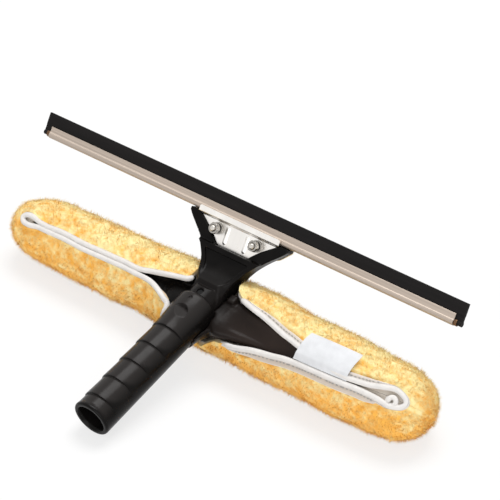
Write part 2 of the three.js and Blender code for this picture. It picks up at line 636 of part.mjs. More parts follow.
// Opening of the slit between the lips, wide enough for the binding, as [x, lowest, highest angle]
function slitOpening() {
  const upper = through(UPPER_LIP);
  const lower = through([...LOWER_LIP].reverse());
  const stations = [-146, -97, -60, -50, -42, -35, -29, -24, -20, -16, -10, 0, 10, 16, 20, 24, 29, 36, 46];
  stations.push(58, 70, 80, 100, 123, 138, 150);
  const lips = stations.map((x) => {
    const near = [x - 4.5, x, x + 4.5];
    return [x, Math.min(...near.map(lower)) - SLIT_MARGIN, Math.max(...near.map(upper)) + SLIT_MARGIN];
  });
  const leftEnd = [[-163.4, 41, 48], [-162.4, 35, 54], [-156, 30, 61]];
  const rightEnd = [[160, 27, 66], [168, 28, 64], [172.4, 36, 56], [173.2, 42, 49]];
  return [...leftEnd, ...lips, ...rightEnd];
}

// Sector cut out of the sleeve through that opening, deep enough to meet the hollow for the T-bar
function slitSector() {
  const outer = 46;
  const sections = slitOpening().map(([x, low, high]) => {
    const inner = THREE.MathUtils.lerp(4, 14.5, smoothstep(Math.abs(x), 24, 44));
    const outline = [];
    for (let k = 0; k <= 3; k++) outline.push([inner, low + ((high - low) * k) / 3]);
    for (let k = 8; k >= 0; k--) outline.push([outer, low + ((high - low) * k) / 8]);
    const points = outline.map(([radius, degrees]) => aroundSleeve(x, radius, degrees));
    return { x, outline: points.map((p) => new THREE.Vector2(p.y, p.z)) };
  });
  return loft(sections, ({ x }, y, z) => new THREE.Vector3(x, y, z));
}

// Washing sleeve: a stuffed roll, flat where it lies on the table, slit along the user's side
function washerSleeve() {
  const ends = [180, 179.4, 177.5, 174, 169, 163, 156, 148];
  const middle = [];
  for (let x = -130; x <= 130; x += 20) middle.push(x);
  const stations = [...ends.map((x) => -x), ...middle, ...[...ends].reverse()];
  const sections = stations.map((x) => {
    const outline = [];
    for (let k = 0; k < SLEEVE_POINTS; k++) {
      const p = aroundSleeve(x, Math.max(sleeveReach(x), 3), (360 * k) / SLEEVE_POINTS);
      outline.push(new THREE.Vector2(p.y, Math.max(p.z, 0)));
    }
    return { x, outline };
  });
  const roll = solid(loft(sections, ({ x }, y, z) => new THREE.Vector3(x, y, z)));
  const hollow = [slitSector(), tBarSkin(3 * GAP, 12)].map(solid);
  return cut(roll, ...hollow, handleEnvelope(3 * GAP), neckEnvelope(3 * GAP), ...wingRoots(2 * GAP));
}

// Woven label folded over the upper lip of the slit
function sleeveLabel() {
  const sections = [];
  for (let k = 0; k <= 5; k++) {
    const x = LABEL_X[0] + ((LABEL_X[1] - LABEL_X[0]) * k) / 5;
    const inside = sleeveRadius(x) - BINDING_SINK + BINDING_RADIUS + GAP;
    const outline = [];
    for (const radius of [inside, inside + LABEL_THICK])
      for (let a = 0; a <= 10; a++) {
        const s = radius === inside ? a : 10 - a;
        const p = aroundSleeve(x, radius, LABEL_ANGLES[0] + ((LABEL_ANGLES[1] - LABEL_ANGLES[0]) * s) / 10);
        outline.push(new THREE.Vector2(p.y, p.z));
      }
    sections.push({ x, outline });
  }
  return loft(sections, ({ x }, y, z) => new THREE.Vector3(x, y, z));
}

const finish = {
  moulded: { color: 0x161515, roughness: 0.42, metalness: 0 },
  rubber: { color: 0x1c1a1a, roughness: 0.7, metalness: 0 },
  channel: { color: 0xcfc2b6, roughness: 0.32, metalness: 1 },
  plate: { color: 0xe8e4dd, roughness: 0.25, metalness: 1 },
  fastener: { color: 0xb9b6b0, roughness: 0.35, metalness: 1 },
  brass: { color: 0xa6794a, roughness: 0.4, metalness: 1 },
  fleece: { color: 0xf2bf62, roughness: 1, metalness: 0 },
  binding: { color: 0xf3efec, roughness: 0.9, metalness: 0 },
};

function piece(name, shape, look) {
  const geometry = shape.isBufferGeometry ? shape : geometryOf(shape);
  const mesh = new THREE.Mesh(geometry, new THREE.MeshStandardMaterial({ name, ...finish[look] }));
  mesh.name = name;
  return mesh;
}

const head = new THREE.Group();
head.applyMatrix4(headMatrix);
head.add(piece("rubber_blade", rubberBlade(), "rubber"));
head.add(piece("squeegee_channel", bladeChannel(), "channel"));
head.add(piece("squeegee_yoke", squeegeeYoke(), "moulded"));
head.add(piece("clamp_plate", clampPlate(), "plate"));
head.add(piece("rear_jaw", rearJaw(), "plate"));
for (const [side, sign] of [["left", -1], ["right", 1]]) {
  head.add(piece(`end_clip_${side}`, endClip(sign), "brass"));
  head.add(piece(`clamp_bolt_${side}`, clampBolt(sign * BOLT_X), "fastener"));
  const onBolt = new THREE.Group();
  onBolt.position.set(sign * BOLT_X, -BOLT_DEPTH, 0);
  const flat = ring(4.2, BOLT_RADIUS + GAP, flatWasherLow, flatWasherLow + FLAT_WASHER);
  onBolt.add(piece(`flat_washer_${side}`, flat, "fastener"));
  onBolt.add(piece(`lock_washer_${side}`, lockWasher(), "fastener"));
  onBolt.add(piece(`clamp_nut_${side}`, clampNut(), "fastener"));
  head.add(onBolt);
}

const handle = new THREE.Group();
handle.applyMatrix4(handleMatrix);
handle.add(piece("handle_grip", handleGrip(), "moulded"));
const yokeScrew = panScrew(SCREW_SEAT + GAP, SCREW_SEAT + 1.8, 2, SCREW_TIP, SCREW_RADIUS);
handle.add(piece("yoke_screw", yokeScrew.translate([0, SCREW_AT, 0]), "fastener"));
const baseSeat = -HEAD_RADIUS - 2 - GAP;
const baseScrew = panScrew(baseSeat - 1.8, baseSeat, 3, -11.6, SCREW_RADIUS);
handle.add(piece("t_bar_screw", baseScrew.translate([0, BASE_SCREW_AT, 0]), "fastener"));

const tool = new THREE.Group();
tool.add(head, handle);
tool.add(piece("t_bar", tBarMoulding(), "moulded"));
tool.add(piece("washer_sleeve", washerSleeve(), "fleece"));
tool.add(piece("slit_binding", bindingTube(), "binding"));
tool.add(piece("sleeve_label", sleeveLabel(), "binding"));

// Put the origin on the table under the middle of the tool
const box = new THREE.Box3().setFromObject(tool, true);
const centre = box.getCenter(new THREE.Vector3());
tool.position.set(-centre.x, -centre.y, -box.min.z);

const squeegee = new THREE.Group();
squeegee.name = "window_squeegee";
squeegee.add(tool);
squeegee.updateMatrixWorld(true);

export default squeegee;
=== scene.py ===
"""Two-in-one window squeegee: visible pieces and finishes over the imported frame.

Lengths in the tables and formulas are millimetres; the meshes are in metres, in the frame's axes:
X along the blade, Y away from the user, Z up from the table.
"""
import math

import bmesh
import bpy
import numpy as np
from bpy.props import FloatProperty, FloatVectorProperty, IntProperty, PointerProperty
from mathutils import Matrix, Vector


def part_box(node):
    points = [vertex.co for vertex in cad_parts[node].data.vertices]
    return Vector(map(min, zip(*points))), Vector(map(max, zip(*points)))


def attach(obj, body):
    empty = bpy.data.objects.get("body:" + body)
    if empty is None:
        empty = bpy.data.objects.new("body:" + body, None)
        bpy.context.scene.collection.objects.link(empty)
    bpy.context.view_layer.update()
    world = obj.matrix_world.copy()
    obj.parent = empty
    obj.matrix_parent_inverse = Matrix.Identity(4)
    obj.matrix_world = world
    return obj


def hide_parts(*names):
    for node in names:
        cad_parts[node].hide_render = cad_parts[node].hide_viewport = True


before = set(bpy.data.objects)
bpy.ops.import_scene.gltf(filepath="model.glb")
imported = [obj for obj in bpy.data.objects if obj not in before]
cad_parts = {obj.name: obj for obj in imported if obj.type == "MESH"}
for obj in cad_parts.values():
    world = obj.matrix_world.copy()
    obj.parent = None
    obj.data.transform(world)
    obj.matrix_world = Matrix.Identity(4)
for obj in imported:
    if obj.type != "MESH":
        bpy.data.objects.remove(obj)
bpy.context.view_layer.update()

bl_info = {
    "name": "Window Squeegee",
    "version": (1, 0, 0),
    "blender": (4, 5, 0),
    "location": "View3D > Sidebar > Squeegee",
    "description": "Builds a window squeegee with a clamped blade and a fleece washing sleeve",
    "category": "Add Mesh",
}

MM = 0.001

# Frames: the head's Y runs up the blade and its Z to the user, the handle's Y runs from the open
# end to the head and its Z out of the stepped top, and the sleeve's axis lies along X
TABLE_SHIFT = 46.63
HEAD_TILT = math.radians(59.4)
BLADE_EDGE = (0.0, 36.9 + TABLE_SHIFT, 93.1)
HANDLE_RISE = math.radians(13.2)
HANDLE_END = (0.0, -128.1 + TABLE_SHIFT, 13.8 * math.cos(HANDLE_RISE))
SLEEVE_AXIS = (TABLE_SHIFT, 24.9)

# Blade, channel and end clips
RUBBER_EXPOSED = 8.7
RUBBER_HALF = 0.95
RUBBER_ROOT_HALF = 1.1
BEAD_DEPTH = 14.1
BEAD_RADIUS = 1.8
CHANNEL_BOTTOM = 17.05
CHANNEL_WALL = 0.75
CLIP_GAP = 0.3
CLIP_STATIONS = (0, 0.15, 1.1, 2.05, 2.2)
CLIP_RADII = (2.6, 2.1)
CLIP_END_RADII = (2.525, 2.175)
CLIP_MOUTH = 48

# Clamp plate and rear jaw; depths are counted down from the blade's edge
PLATE_FRONT = 2.15
PLATE_THICK = 1.2
LIP_RISE = 2.5
LIP_TOP = 13.4
LIP_HALF = 34.0
LIP_CORNER = 1.2
LIP_END = 17.4
LIP_BEND = (16.9, 19.5)
TONGUE_START = 34.4
TONGUE_DEPTH = 41.0
TONGUE_HALF = (11.8, 8.6)
ARM_INSIDE = [(-34.4, 13.8), (-31, 17), (-26.2, 22.4), (-20.6, 30), (-16, 36.2)]
ARM_GAP = 0.6
RIB_X = 8.2
RIB_DEPTH = 26.4
RIB_HALF = 4.75
RIB_RADIUS = 1.6
JAW_CORNERS = [(42, -12.2), (42, -19.5), (34, -27.5), (24, -32)]
JAW_FRONT = -3.4
JAW_THICK = 1.3
JAW_EASE = 0.25

# Fasteners, with their heights along the bolt
BOLT_X = 16.6
BOLT_DEPTH = 24.2
BOLT_SEAT = -5.0
BOLT_END = 9.3
BOLT_RADIUS = 2.0
THREAD_DEPTH = 0.16
HEX_FLATS = 7.0
HOLE_RADIUS = 2.3
WASHER_LOW = 2.45
WASHER_RADIUS = 4.2
WASHER_THICK = 0.8
LOCK_LOW = 3.55
LOCK_RADIUS = 3.4
LOCK_THICK = 1.0
LOCK_CLIMB = 0.12
NUT_LOW = 4.85
NUT_TOP = 8.05

# Handle, along its length from the open end; paths are (radius, place along the handle)
GRIP_COLUMNS = 220
RIM_LENGTH = 1.8
RIM_DROP = 1.25
SWELL = 1.3
SWELL_SPAN = (84, 106)
STEP_COUNT = 5
STEP_FIRST = 80.5
STEP_SPREAD = 0.35
STEP_RUN_OUT = 0.72
THUMB_AT = 94.6
THUMB_RADIUS = 6.3
THUMB_DEPTH = 0.95
THUMB_SLOPES = (math.tan(math.radians(9)), math.tan(math.radians(12)))
GATE_AT = 108.0
GATE_DEPTH = 1.1
SHOULDER_FROM = 110.5
SHOULDER_LENGTH = 3.05
SHOULDER_AT = 113.5
SHOULDER_DROP = 2.2
SOCKET = [
    (1.0, 72), (5.0, 72), (5.8, 71.6), (9.0, 69.5), (9.4, 68.5), (9.6, 45), (9.9, 2.6), (10.1, 1.9),
    (10.7, 0.35), (10.95, 0.06), (11.2, 0),
]
SPIGOT = [(8.4, SHOULDER_AT), (8.4, 124), (7.9, 124.5), (1.0, 124.5)]

# Painted light on the black mouldings: its colours, and the places in metres between which it changes
GRIP_SHEEN = (0.025, 0.0222, 0.021)
YOKE_SHEEN = (0.0105, 0.009, 0.0085)
YOKE_SHEEN_Y = (0.038, 0.052)
T_BAR_LIT = (0.042, 0.03, 0.0255)
T_BAR_LIT_X = (0.01, 0.06)

# Sleeve: radius along X, and the angles of the slit's two lips, counted up from the user's side
PACKED_HALF = 180.0
SLEEVE_HALF = 177.6
SLEEVE_ROUNDING = 30.0
SLEEVE_RADIUS = [
    (-180, 22.6), (-150, 23.2), (-100, 24.1), (-55, 24.9), (-30, 27), (0, 28), (40, 29), (72, 27.4),
    (108, 28.6), (140, 27.4), (180, 25.6),
]
UPPER_EDGE = [
    (-162, 44.5), (-160.5, 49), (-157, 52.6), (-152, 53.2), (-146, 50), (-124, 49.8), (-97, 50.5),
    (-70, 51.3), (-54, 52), (-44, 57), (-31, 63), (-24, 66.3), (-17.6, 69.6), (-16.9, 73.8), (-16.7, 80),
    (-16.65, 92), (-16.6, 112), (-11, 131), (0, 134), (11, 132), (15.6, 121), (16.8, 106), (18.2, 95),
    (21, 87), (26, 80), (33, 73.4), (46, 67.6), (64, 60.2), (80, 52.6), (100, 44.5), (123, 41.5),
    (140, 45.4), (150, 52), (159, 57.2), (165.5, 53.6), (167.8, 49.5), (168.8, 45.5),
]
LOWER_EDGE = [
    (-162, 44.5), (-160.5, 40), (-157, 37), (-152, 36.5), (-145, 40), (-124, 40.6), (-97, 41.3),
    (-72, 42.4), (-54, 42.8), (-43, 42.3), (-36.5, 40), (-29.5, 36), (-21, 30.8), (-18.4, 25), (-17.7, 12),
    (-17.5, 5), (-17.2, -8), (-15, -16), (-9, -23), (0, -26), (9, -20), (14, -9.5), (16.5, -4), (20.5, 2.5),
    (27, 5.6), (36, 8), (52, 16.6), (70, 24), (88, 28.8), (117, 31.6), (135, 33.6), (150, 33.5),
    (158.5, 31), (165.5, 35), (168, 40.5), (168.8, 45.5),
]

# Stretches along X as (begins, full, fades, ends): the slit's opening, the binding's flange and its
# dent in the fleece, the lips' loose parts, the hollows beside the handle and the sides of the neck
SLIT_OPEN = (-153, -147, 127, 136)
FLANGE_SPAN = (22, 62, 138, 162)
DENT_SPAN = (20, 46, 150, 166)
WAVE_SPANS = [(-146, -134, -64, -50), (40, 52, 66, 78), (126, 132, 140, 148)]
HOLLOW_LEFT = (-80, -56, -36, -22)
HOLLOW_RIGHT = (6, 16, 34, 56)
BEHIND_NECK = (12, 18, 24, 40)
BESIDE_NECK = (13, 15, 24, 29)

# Sleeve's cloth and pile
OUTSIDE_COLUMNS = 230
INSIDE_COLUMNS = 60
CLOTH_DEPTH = 2.0
CLOTH_THICK = 3.2
LINING_DEPTH = 0.7
LINING_X = (-162, 171)
LEAST_REACH = 0.25
NOISE_CELLS = 48
PILE_PIECES = 5
TUFT_ROOT_DEPTH = 2.4
TUFT_HALF_WIDTH = (0.06, 0.13)
# Share of pale at a tuft's root ring, middle ring and tip: painted shade, deepest at the roots
TUFT_PAINTED_SHADE = [0.15, 0.15, 0.15, 0.4, 0.4, 0.4, 0.75]

# Centre line of the binding as (x, angle, lift): upper lip to the right, right loop, lower lip back
BINDING_ROUTE = [
    (-146, 49.5, 0), (-124, 49.8, 0), (-97, 50.5, 0), (-70, 51.3, 0), (-54, 52, 0), (-44, 57, 0),
    (-31, 63, 0), (-24, 66.3, 0), (-17.2, 69.6, 0), (-14.9, 73.4, 0), (-16.4, 79, -2), (-17.6, 92, -2.8),
    (-17.4, 112, -2.6), (-11, 131, 0), (0, 134, 0), (11, 132, 0), (16.4, 119, -2.6), (17.4, 106, -4.2),
    (18.8, 95, -4.4), (21.4, 87, -4.2), (26, 80, -2.6), (33, 73.4, 0), (46, 67.6, 0), (64, 60.2, 0),
    (80, 52.6, 0), (100, 44.5, 0), (123, 41.5, 0), (140, 45.4, 0), (150, 52, 0), (159, 57.2, 0),
    (165.5, 53.6, 0), (168, 45.5, 0), (165.5, 35, 0), (158.5, 31, 0), (150, 33.5, 0), (135, 33.6, 0),
    (117, 31.6, 0), (88, 28.8, 0), (70, 24, 0), (52, 16.6, 0), (36, 8, 0), (27, 2.6, -2), (21, -8, -4.2),
    (16, -19, -4.2), (9, -28, -3.4), (0, -30, -1.6), (-9, -25, 1), (-15, -16, 3.2), (-17, -7, 4.2),
    (-17.4, 5, 6.4), (-17.8, 12, 8.4), (-17, 19, 8.8), (-17, 24, 7.5), (-18.8, 28, 6), (-22.6, 31.5, 6),
    (-29.5, 36, 4), (-36.5, 40, 2.2), (-43, 42.3, 1), (-54, 42.8, 0), (-72, 42.4, 0), (-97, 41.3, 0),
    (-124, 40.6, 0), (-145, 40, 0), (-152, 36.5, 0), (-157.5, 37, 0), (-160.5, 44.5, 0),
    (-157.5, 52.5, 0), (-152, 53, 0),
]
ROUTE_POINTS = 840
BINDING_SINK = 1.2
BINDING_RADIUS = 1.85

# Flange of the binding as (away from the slit, outwards), and the part of it in unbleached tape
FLANGE_ROOT = 1.75
FLANGE_EDGE = [
    (1.75, -1.55), (2.6, -1.5), (4.4, -1.4), (5.7, -1.2), (6.1, -0.5), (5.9, 0.25), (5.1, 0.75), (4.1, 0.8),
    (3.1, 0.6), (2.5, 0.25), (2.0, 0.45),
]
RAW_TAPE = slice(30, 34)
STITCH_PITCH = 2.7
STITCH_HALF = 0.95
STITCH_AWAY = 3.7

# Turned-in end of the tape, and the label
CURL_AT = (159.5, 39.8)
CURL_POINTS = 60
LABEL_X = (83.0, 127.0)
LABEL_ANGLES = (33.0, 77.5)
LABEL_FLAT = (41.5, 21.4)
LABEL_OVER = 1.35
LABEL_THICK = 0.45

# Photographed view
CAMERA_AZIMUTH = 38.64
CAMERA_ELEVATION = 36.03
CAMERA_DISTANCE = 1803.28
CAMERA_AIM = (0.0, TABLE_SHIFT, 60.0)
CAMERA_OFFSET = (22.84, 12.75)
CAMERA_LENS = 195.42


def blade_length():
    """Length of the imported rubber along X, in metres."""
    low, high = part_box("rubber_blade")
    return high[0] - low[0]


class BladeSettings(bpy.types.PropertyGroup):
    """Sizes and colours of the blade and its channel."""

    length: FloatProperty(
        name="Rubber length", description="Length of the blade rubber", default=blade_length(), unit="LENGTH"
    )
    channel_length: FloatProperty(
        name="Channel length", description="Length of the folded channel", default=0.344, unit="LENGTH"
    )
    rubber: FloatVectorProperty(
        name="Rubber", description="Colour of the blade rubber", subtype="COLOR",
        default=(0.0075, 0.0065, 0.0063),
    )
    channel: FloatVectorProperty(
        name="Channel steel", description="Colour of the channel", subtype="COLOR",
        default=(0.56, 0.475, 0.405),
    )
    clip: FloatVectorProperty(
        name="Clip brass", description="Colour of the end clips", subtype="COLOR", default=(0.16, 0.09, 0.05)
    )


class ClampSettings(bpy.types.PropertyGroup):
    """Sizes and colours of the clamp plate and its fasteners."""

    rib_height: FloatProperty(
        name="Rib height", description="Height of the plate's pressed ribs", default=0.0006, unit="LENGTH"
    )
    thread_pitch: FloatProperty(
        name="Thread pitch", description="Pitch of the bolts' thread", default=0.0007, unit="LENGTH"
    )
    plate: FloatVectorProperty(
        name="Plate steel", description="Colour of the clamp plate", subtype="COLOR",
        default=(0.92, 0.89, 0.85),
    )
    fastener: FloatVectorProperty(
        name="Fastener steel", description="Colour of nuts and bolts", subtype="COLOR",
        default=(0.40, 0.38, 0.35),
    )


class GripSettings(bpy.types.PropertyGroup):
    """Sizes and colour of the black mouldings."""

    radius: FloatProperty(
        name="Grip radius", description="Radius of the round grip", default=0.0138, unit="LENGTH"
    )
    step_pitch: FloatProperty(
        name="Step pitch", description="Distance between the grip's steps", default=0.01735, unit="LENGTH"
    )
    step_depth: FloatProperty(
        name="Step depth", description="Depth of a step at its head end", default=0.0015, unit="LENGTH"
    )
    plastic: FloatVectorProperty(
        name="Black plastic", description="Colour of the mouldings", subtype="COLOR",
        default=(0.0046, 0.004, 0.0037),
    )


class SleeveSettings(bpy.types.PropertyGroup):
    """Sizes and colours of the washing sleeve."""

    pile_length: FloatProperty(
        name="Pile length", description="Mean length of the pile's tufts", default=0.0024, unit="LENGTH"
    )
    pile_count: IntProperty(name="Tufts", description="Number of tufts on the sleeve", default=90000)
    # Pale and deep gold make a random mottle and also painted light and shade: pale on tips and top, deep
    # between the tufts and in hollows
    pale: FloatVectorProperty(
        name="Pale gold", description="Colour of the tufts' tips", subtype="COLOR", default=(1.0, 0.86, 0.44)
    )
    deep: FloatVectorProperty(
        name="Deep gold", description="Colour between the tufts", subtype="COLOR", default=(1.0, 0.54, 0.1)
    )
    binding: FloatVectorProperty(
        name="Binding", description="Colour of the binding tape", subtype="COLOR", default=(0.83, 0.80, 0.77)
    )
    label: FloatVectorProperty(
        name="Label", description="Colour of the cloth label", subtype="COLOR", default=(0.78, 0.79, 0.81)
    )


class StageSettings(bpy.types.PropertyGroup):
    """Floor and lights."""

    floor: FloatVectorProperty(
        name="Floor", description="Colour of the floor", subtype="COLOR", default=(0.92, 0.92, 0.92)
    )
    key_power: FloatProperty(
        name="Key light", description="Power of the upper softbox", default=33.0, unit="POWER"
    )
    fill_power: FloatProperty(
        name="Fill light", description="Power of the low softbox", default=23.0, unit="POWER"
    )
    sky: FloatProperty(name="Room light", description="Strength of the plain room light", default=0.5)


class SqueegeeSettings(bpy.types.PropertyGroup):
    """All settings of the squeegee."""

    blade: PointerProperty(type=BladeSettings, name="Blade")
    clamp: PointerProperty(type=ClampSettings, name="Clamp")
    grip: PointerProperty(type=GripSettings, name="Grip")
    sleeve: PointerProperty(type=SleeveSettings, name="Sleeve")
    stage: PointerProperty(type=StageSettings, name="Stage")


# Shapes as arrays


def unit(vectors):
    """Vectors divided by their lengths."""
    return vectors / np.maximum(np.linalg.norm(vectors, axis=-1, keepdims=True), 1e-9)


def smoothstep(x, low, high):
    """Goes from 0 at low to 1 at high along a cubic that is level at both ends."""
    s = np.clip((x - low) / (high - low), 0, 1)
    return s * s * (3 - 2 * s)


def stretch(x, begins, full, fades, ends):
    """Share that rises smoothly from 0 to 1 between begins and full and falls between fades and ends."""
    return smoothstep(x, begins, full) * (1 - smoothstep(x, fades, ends))


def eased(share):
    """Drop from 0 to 1 of a quarter circle, level at share 0 and upright at share 1."""
    return 1 - np.sqrt(1 - share ** 2)


def turn_from(degrees, middle):
    """Angle from middle, brought between -180 and 180."""
    return (degrees - middle + 180) % 360 - 180


def curve(stations):
    """Smooth function through (x, value) pairs, made of cubics.

    The slope at a station is that of the line between its two neighbours; the value is held
    outside the first and last station.
    """
    xs, values = np.array(stations, float).T[:2]
    before = np.maximum(np.arange(len(xs)) - 1, 0)
    after = np.minimum(np.arange(len(xs)) + 1, len(xs) - 1)
    slopes = (values[after] - values[before]) / (xs[after] - xs[before])

    def read(x):
        """Value at x, from the cubic of its span."""
        x = np.clip(x, xs[0], xs[-1])
        i = np.clip(np.searchsorted(xs, x) - 1, 0, len(xs) - 2)
        span = xs[i + 1] - xs[i]
        s = (x - xs[i]) / span
        start = (1 + 2 * s) * (1 - s) ** 2 * values[i] + s * (1 - s) ** 2 * span * slopes[i]
        end = s * s * (3 - 2 * s) * values[i + 1] + s * s * (s - 1) * span * slopes[i + 1]
        return start + end

    return read


def closed_spline(points, count):
    """Closed curve through points, made of cubics with count / len(points) samples each.

    A span's knots are spaced by the square roots of the distances between its four points, and each
    sample is blended from the four points by three rounds of straight interpolation.
    """
    quad = np.stack([np.roll(points, shift, 0) for shift in (1, 0, -1, -2)])
    gaps = np.sqrt(np.linalg.norm(np.diff(quad, axis=0), axis=2))
    knots = np.concatenate([np.zeros((1, len(points))), np.cumsum(gaps, 0)])[..., None, None]
    per_span = max(count // len(points), 2)
    s = np.linspace(0, 1, per_span, endpoint=False)[None, :, None]
    t = knots[1] + s * (knots[2] - knots[1])
    p = quad[:, :, None, :]

    def between(a, b, ta, tb):
        """Straight interpolation from a at the knot ta to b at the knot tb."""
        return ((tb - t) * a + (t - ta) * b) / (tb - ta)

    a1, a2, a3 = (between(p[i], p[i + 1], knots[i], knots[i + 1]) for i in range(3))
    b1 = between(a1, a2, knots[0], knots[2])
    b2 = between(a2, a3, knots[1], knots[3])
    return between(b1, b2, knots[1], knots[2]).reshape(-1, 3)


def walked_length(route):
    """Length walked along a line of points, from 0 at the first."""
    return np.cumsum(np.linalg.norm(np.diff(route, axis=0, prepend=route[:1]), axis=1))


def tilted(points, tilt, origin):
    """Turns points by tilt about X, moves them to origin, and gives metres."""
    x, y, z = np.moveaxis(np.asarray(points, float), -1, 0)
    c, s = math.cos(tilt), math.sin(tilt)
    return (np.stack([x, c * y - s * z, s * y + c * z], -1) + origin) * MM


def on_head(points):
    """Points of the head's frame, in metres on the table."""
    return tilted(points, HEAD_TILT, BLADE_EDGE)


def on_handle(points):
    """Points of the handle's frame, in metres on the table."""
    return tilted(points, HANDLE_RISE, HANDLE_END)


def round_sleeve(x, radius, degrees):
    """Point at a radius and an angle about the sleeve's axis, in millimetres on the table."""
    angle = np.radians(degrees)
    y = SLEEVE_AXIS[0] - radius * np.cos(angle)
    z = SLEEVE_AXIS[1] + radius * np.sin(angle)
    return np.stack(np.broadcast_arrays(x, y, z), -1)


def rounded(corners, cut, steps=4):
    """Closed outline with its corners eased.

    Each corner becomes a quadratic curve that leaves and joins its two edges at the distance cut.
    """
    corners = np.asarray(corners, float)
    to_last = np.roll(corners, 1, 0) - corners
    to_next = np.roll(corners, -1, 0) - corners
    last = np.linalg.norm(to_last, axis=1, keepdims=True)
    following = np.linalg.norm(to_next, axis=1, keepdims=True)
    a = (corners + to_last / last * np.minimum(cut, 0.45 * last))[:, None]
    b = (corners + to_next / following * np.minimum(cut, 0.45 * following))[:, None]
    s = np.linspace(0, 1, steps)[None, :, None]
    return ((1 - s) ** 2 * a + 2 * s * (1 - s) * corners[:, None] + s * s * b).reshape(-1, 2)


def inset(outline, distance):
    """Closed outline moved inwards along the mean normal of each point's two edges."""
    along = unit(np.roll(outline, -1, 0) - np.roll(outline, 1, 0))
    normal = np.stack([along[:, 1], -along[:, 0]], 1)
    x, y = outline.T
    turn = np.sign(np.sum(x * np.roll(y, -1) - y * np.roll(x, -1)))
    return outline - turn * distance * normal


def grid_faces(rows, cols, wrap_rows=False, wrap_cols=False):
    """Quads of a grid of points counted row by row; a wrapped side joins back to its start."""
    i, j = np.meshgrid(
        np.arange(rows if wrap_rows else rows - 1), np.arange(cols if wrap_cols else cols - 1), indexing="ij"
    )
    below, beside = (i + 1) % rows, (j + 1) % cols
    quads = np.stack([i * cols + j, i * cols + beside, below * cols + beside, below * cols + j], -1)
    return quads.reshape(-1, 4)


def capped_tube(grid):
    """Points and faces of a grid of closed rows with a flat face over its first and last row."""
    rows, cols = grid.shape[:2]
    first = np.arange(cols)[None, ::-1]
    last = ((rows - 1) * cols + np.arange(cols))[None]
    return grid.reshape(-1, 3), [grid_faces(rows, cols, wrap_cols=True), first, last]


def looped_tube(grid):
    """Points and faces of a grid that closes on itself both ways."""
    rows, cols = grid.shape[:2]
    return grid.reshape(-1, 3), [grid_faces(rows, cols, wrap_rows=True, wrap_cols=True)]


def carried_along_x(profile, stations):
    """Head-frame profile (y, z) repeated at every X of stations."""
    grid = np.empty((len(stations), len(profile), 3))
    grid[..., 0] = np.asarray(stations)[:, None]
    grid[..., 1:] = profile[None]
    return grid


def full_turn(columns):
    """Angles of evenly spaced columns round a full turn, as one row."""
    return np.linspace(0, 2 * np.pi, columns, endpoint=False)[None]


def turned(radius, angle, height):
    """Points at a radius, an angle and a height about a bolt's axis."""
    return np.stack(np.broadcast_arrays(radius * np.sin(angle), radius * np.cos(angle), height), -1)


def turned_on_bolt(path, columns, limit=None):
    """Path (radius, height) turned about a bolt's axis; limit holds the radius of each column down."""
    angle = full_turn(columns)
    radius = path[:, :1] if limit is None else np.minimum(path[:, :1], limit(angle))
    return turned(radius, angle, path[:, 1:])


def hexagon(angle):
    """Distance from the middle of a hexagon to its side, in the direction of angle."""
    sixth = math.pi / 3
    return HEX_FLATS / 2 / np.cos((angle + sixth / 2) % sixth - sixth / 2)


def ripple(*axes, seed=0, count=6):
    """Slow irregular waves from -1 to 1: the mean of a few sines with random directions and phases.

    Each axis is already in units of the wave's length.
    """
    rng = np.random.default_rng(seed)
    total = 0
    for _ in range(count):
        turn = rng.normal(size=len(axes))
        turn *= 2 * np.pi * rng.uniform(0.7, 1.3) / np.linalg.norm(turn)
        total = total + np.sin(sum(t * a for t, a in zip(turn, axes)) + rng.uniform(0, 2 * np.pi))
    return total / count


def lattice_noise(points, cell, seed):
    """Smooth random values from 0 to 1 at points in space.

    Random numbers stand on a cubic lattice that repeats; a point takes those of its cell's eight
    corners, weighted by cubics of its place in the cell.
    """
    table = np.random.default_rng(seed).random((NOISE_CELLS,) * 3)
    spot = points / cell
    corner = np.floor(spot).astype(int)
    part = smoothstep(spot - corner, 0, 1)
    total = 0
    for offset in np.ndindex(2, 2, 2):
        weight = np.prod(np.where(offset, part, 1 - part), axis=-1)
        total = total + weight * table[tuple(np.moveaxis((corner + offset) % NOISE_CELLS, -1, 0))]
    return total


# Meshes and pieces


def fan_volume(points, faces):
    """Signed volume of closed faces, from fans of triangles about each face's first corner."""
    total = 0.0
    for group in faces:
        a = points[group[:, 0]]
        for k in range(1, group.shape[1] - 1):
            total += np.einsum("ij,ij->", a, np.cross(points[group[:, k]], points[group[:, k + 1]]))
    return total


def mesh_of(name, points, faces, turn_outwards=True):
    """Mesh of points in metres and face groups, each an array with one row of corners per face."""
    points = np.asarray(points, float)
    if turn_outwards and fan_volume(points - points.mean(0), faces) < 0:
        faces = [group[:, ::-1] for group in faces]
    corners = np.concatenate([group.ravel() for group in faces])
    sizes = np.concatenate([np.full(len(group), group.shape[1]) for group in faces])
    mesh = bpy.data.meshes.new(name)
    mesh.vertices.add(len(points))
    mesh.vertices.foreach_set("co", points.astype(np.float32).ravel())
    mesh.loops.add(len(corners))
    mesh.loops.foreach_set("vertex_index", corners.astype(np.int32))
    mesh.polygons.add(len(sizes))
    mesh.polygons.foreach_set("loop_start", (np.cumsum(sizes) - sizes).astype(np.int32))
    mesh.update(calc_edges=True)
    mesh.validate()
    return mesh


def mesh_points(mesh):
    """Places of a mesh's points as an array with one row per point."""
    points = np.empty(len(mesh.vertices) * 3)
    mesh.vertices.foreach_get("co", points)
    return points.reshape(-1, 3)


def piece(mesh, material, body, nodes=(), sharp=35):
    """Puts a mesh into the scene as a piece that rides on a body and stands for CAD nodes."""
    mesh.materials.append(material)
    mesh.shade_smooth()
    mesh.set_sharp_from_angle(angle=math.radians(sharp))
    made = bpy.data.objects.new(mesh.name, mesh)
    bpy.context.scene.collection.objects.link(made)
    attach(made, body)
    if nodes:
        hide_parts(*nodes)
    return made


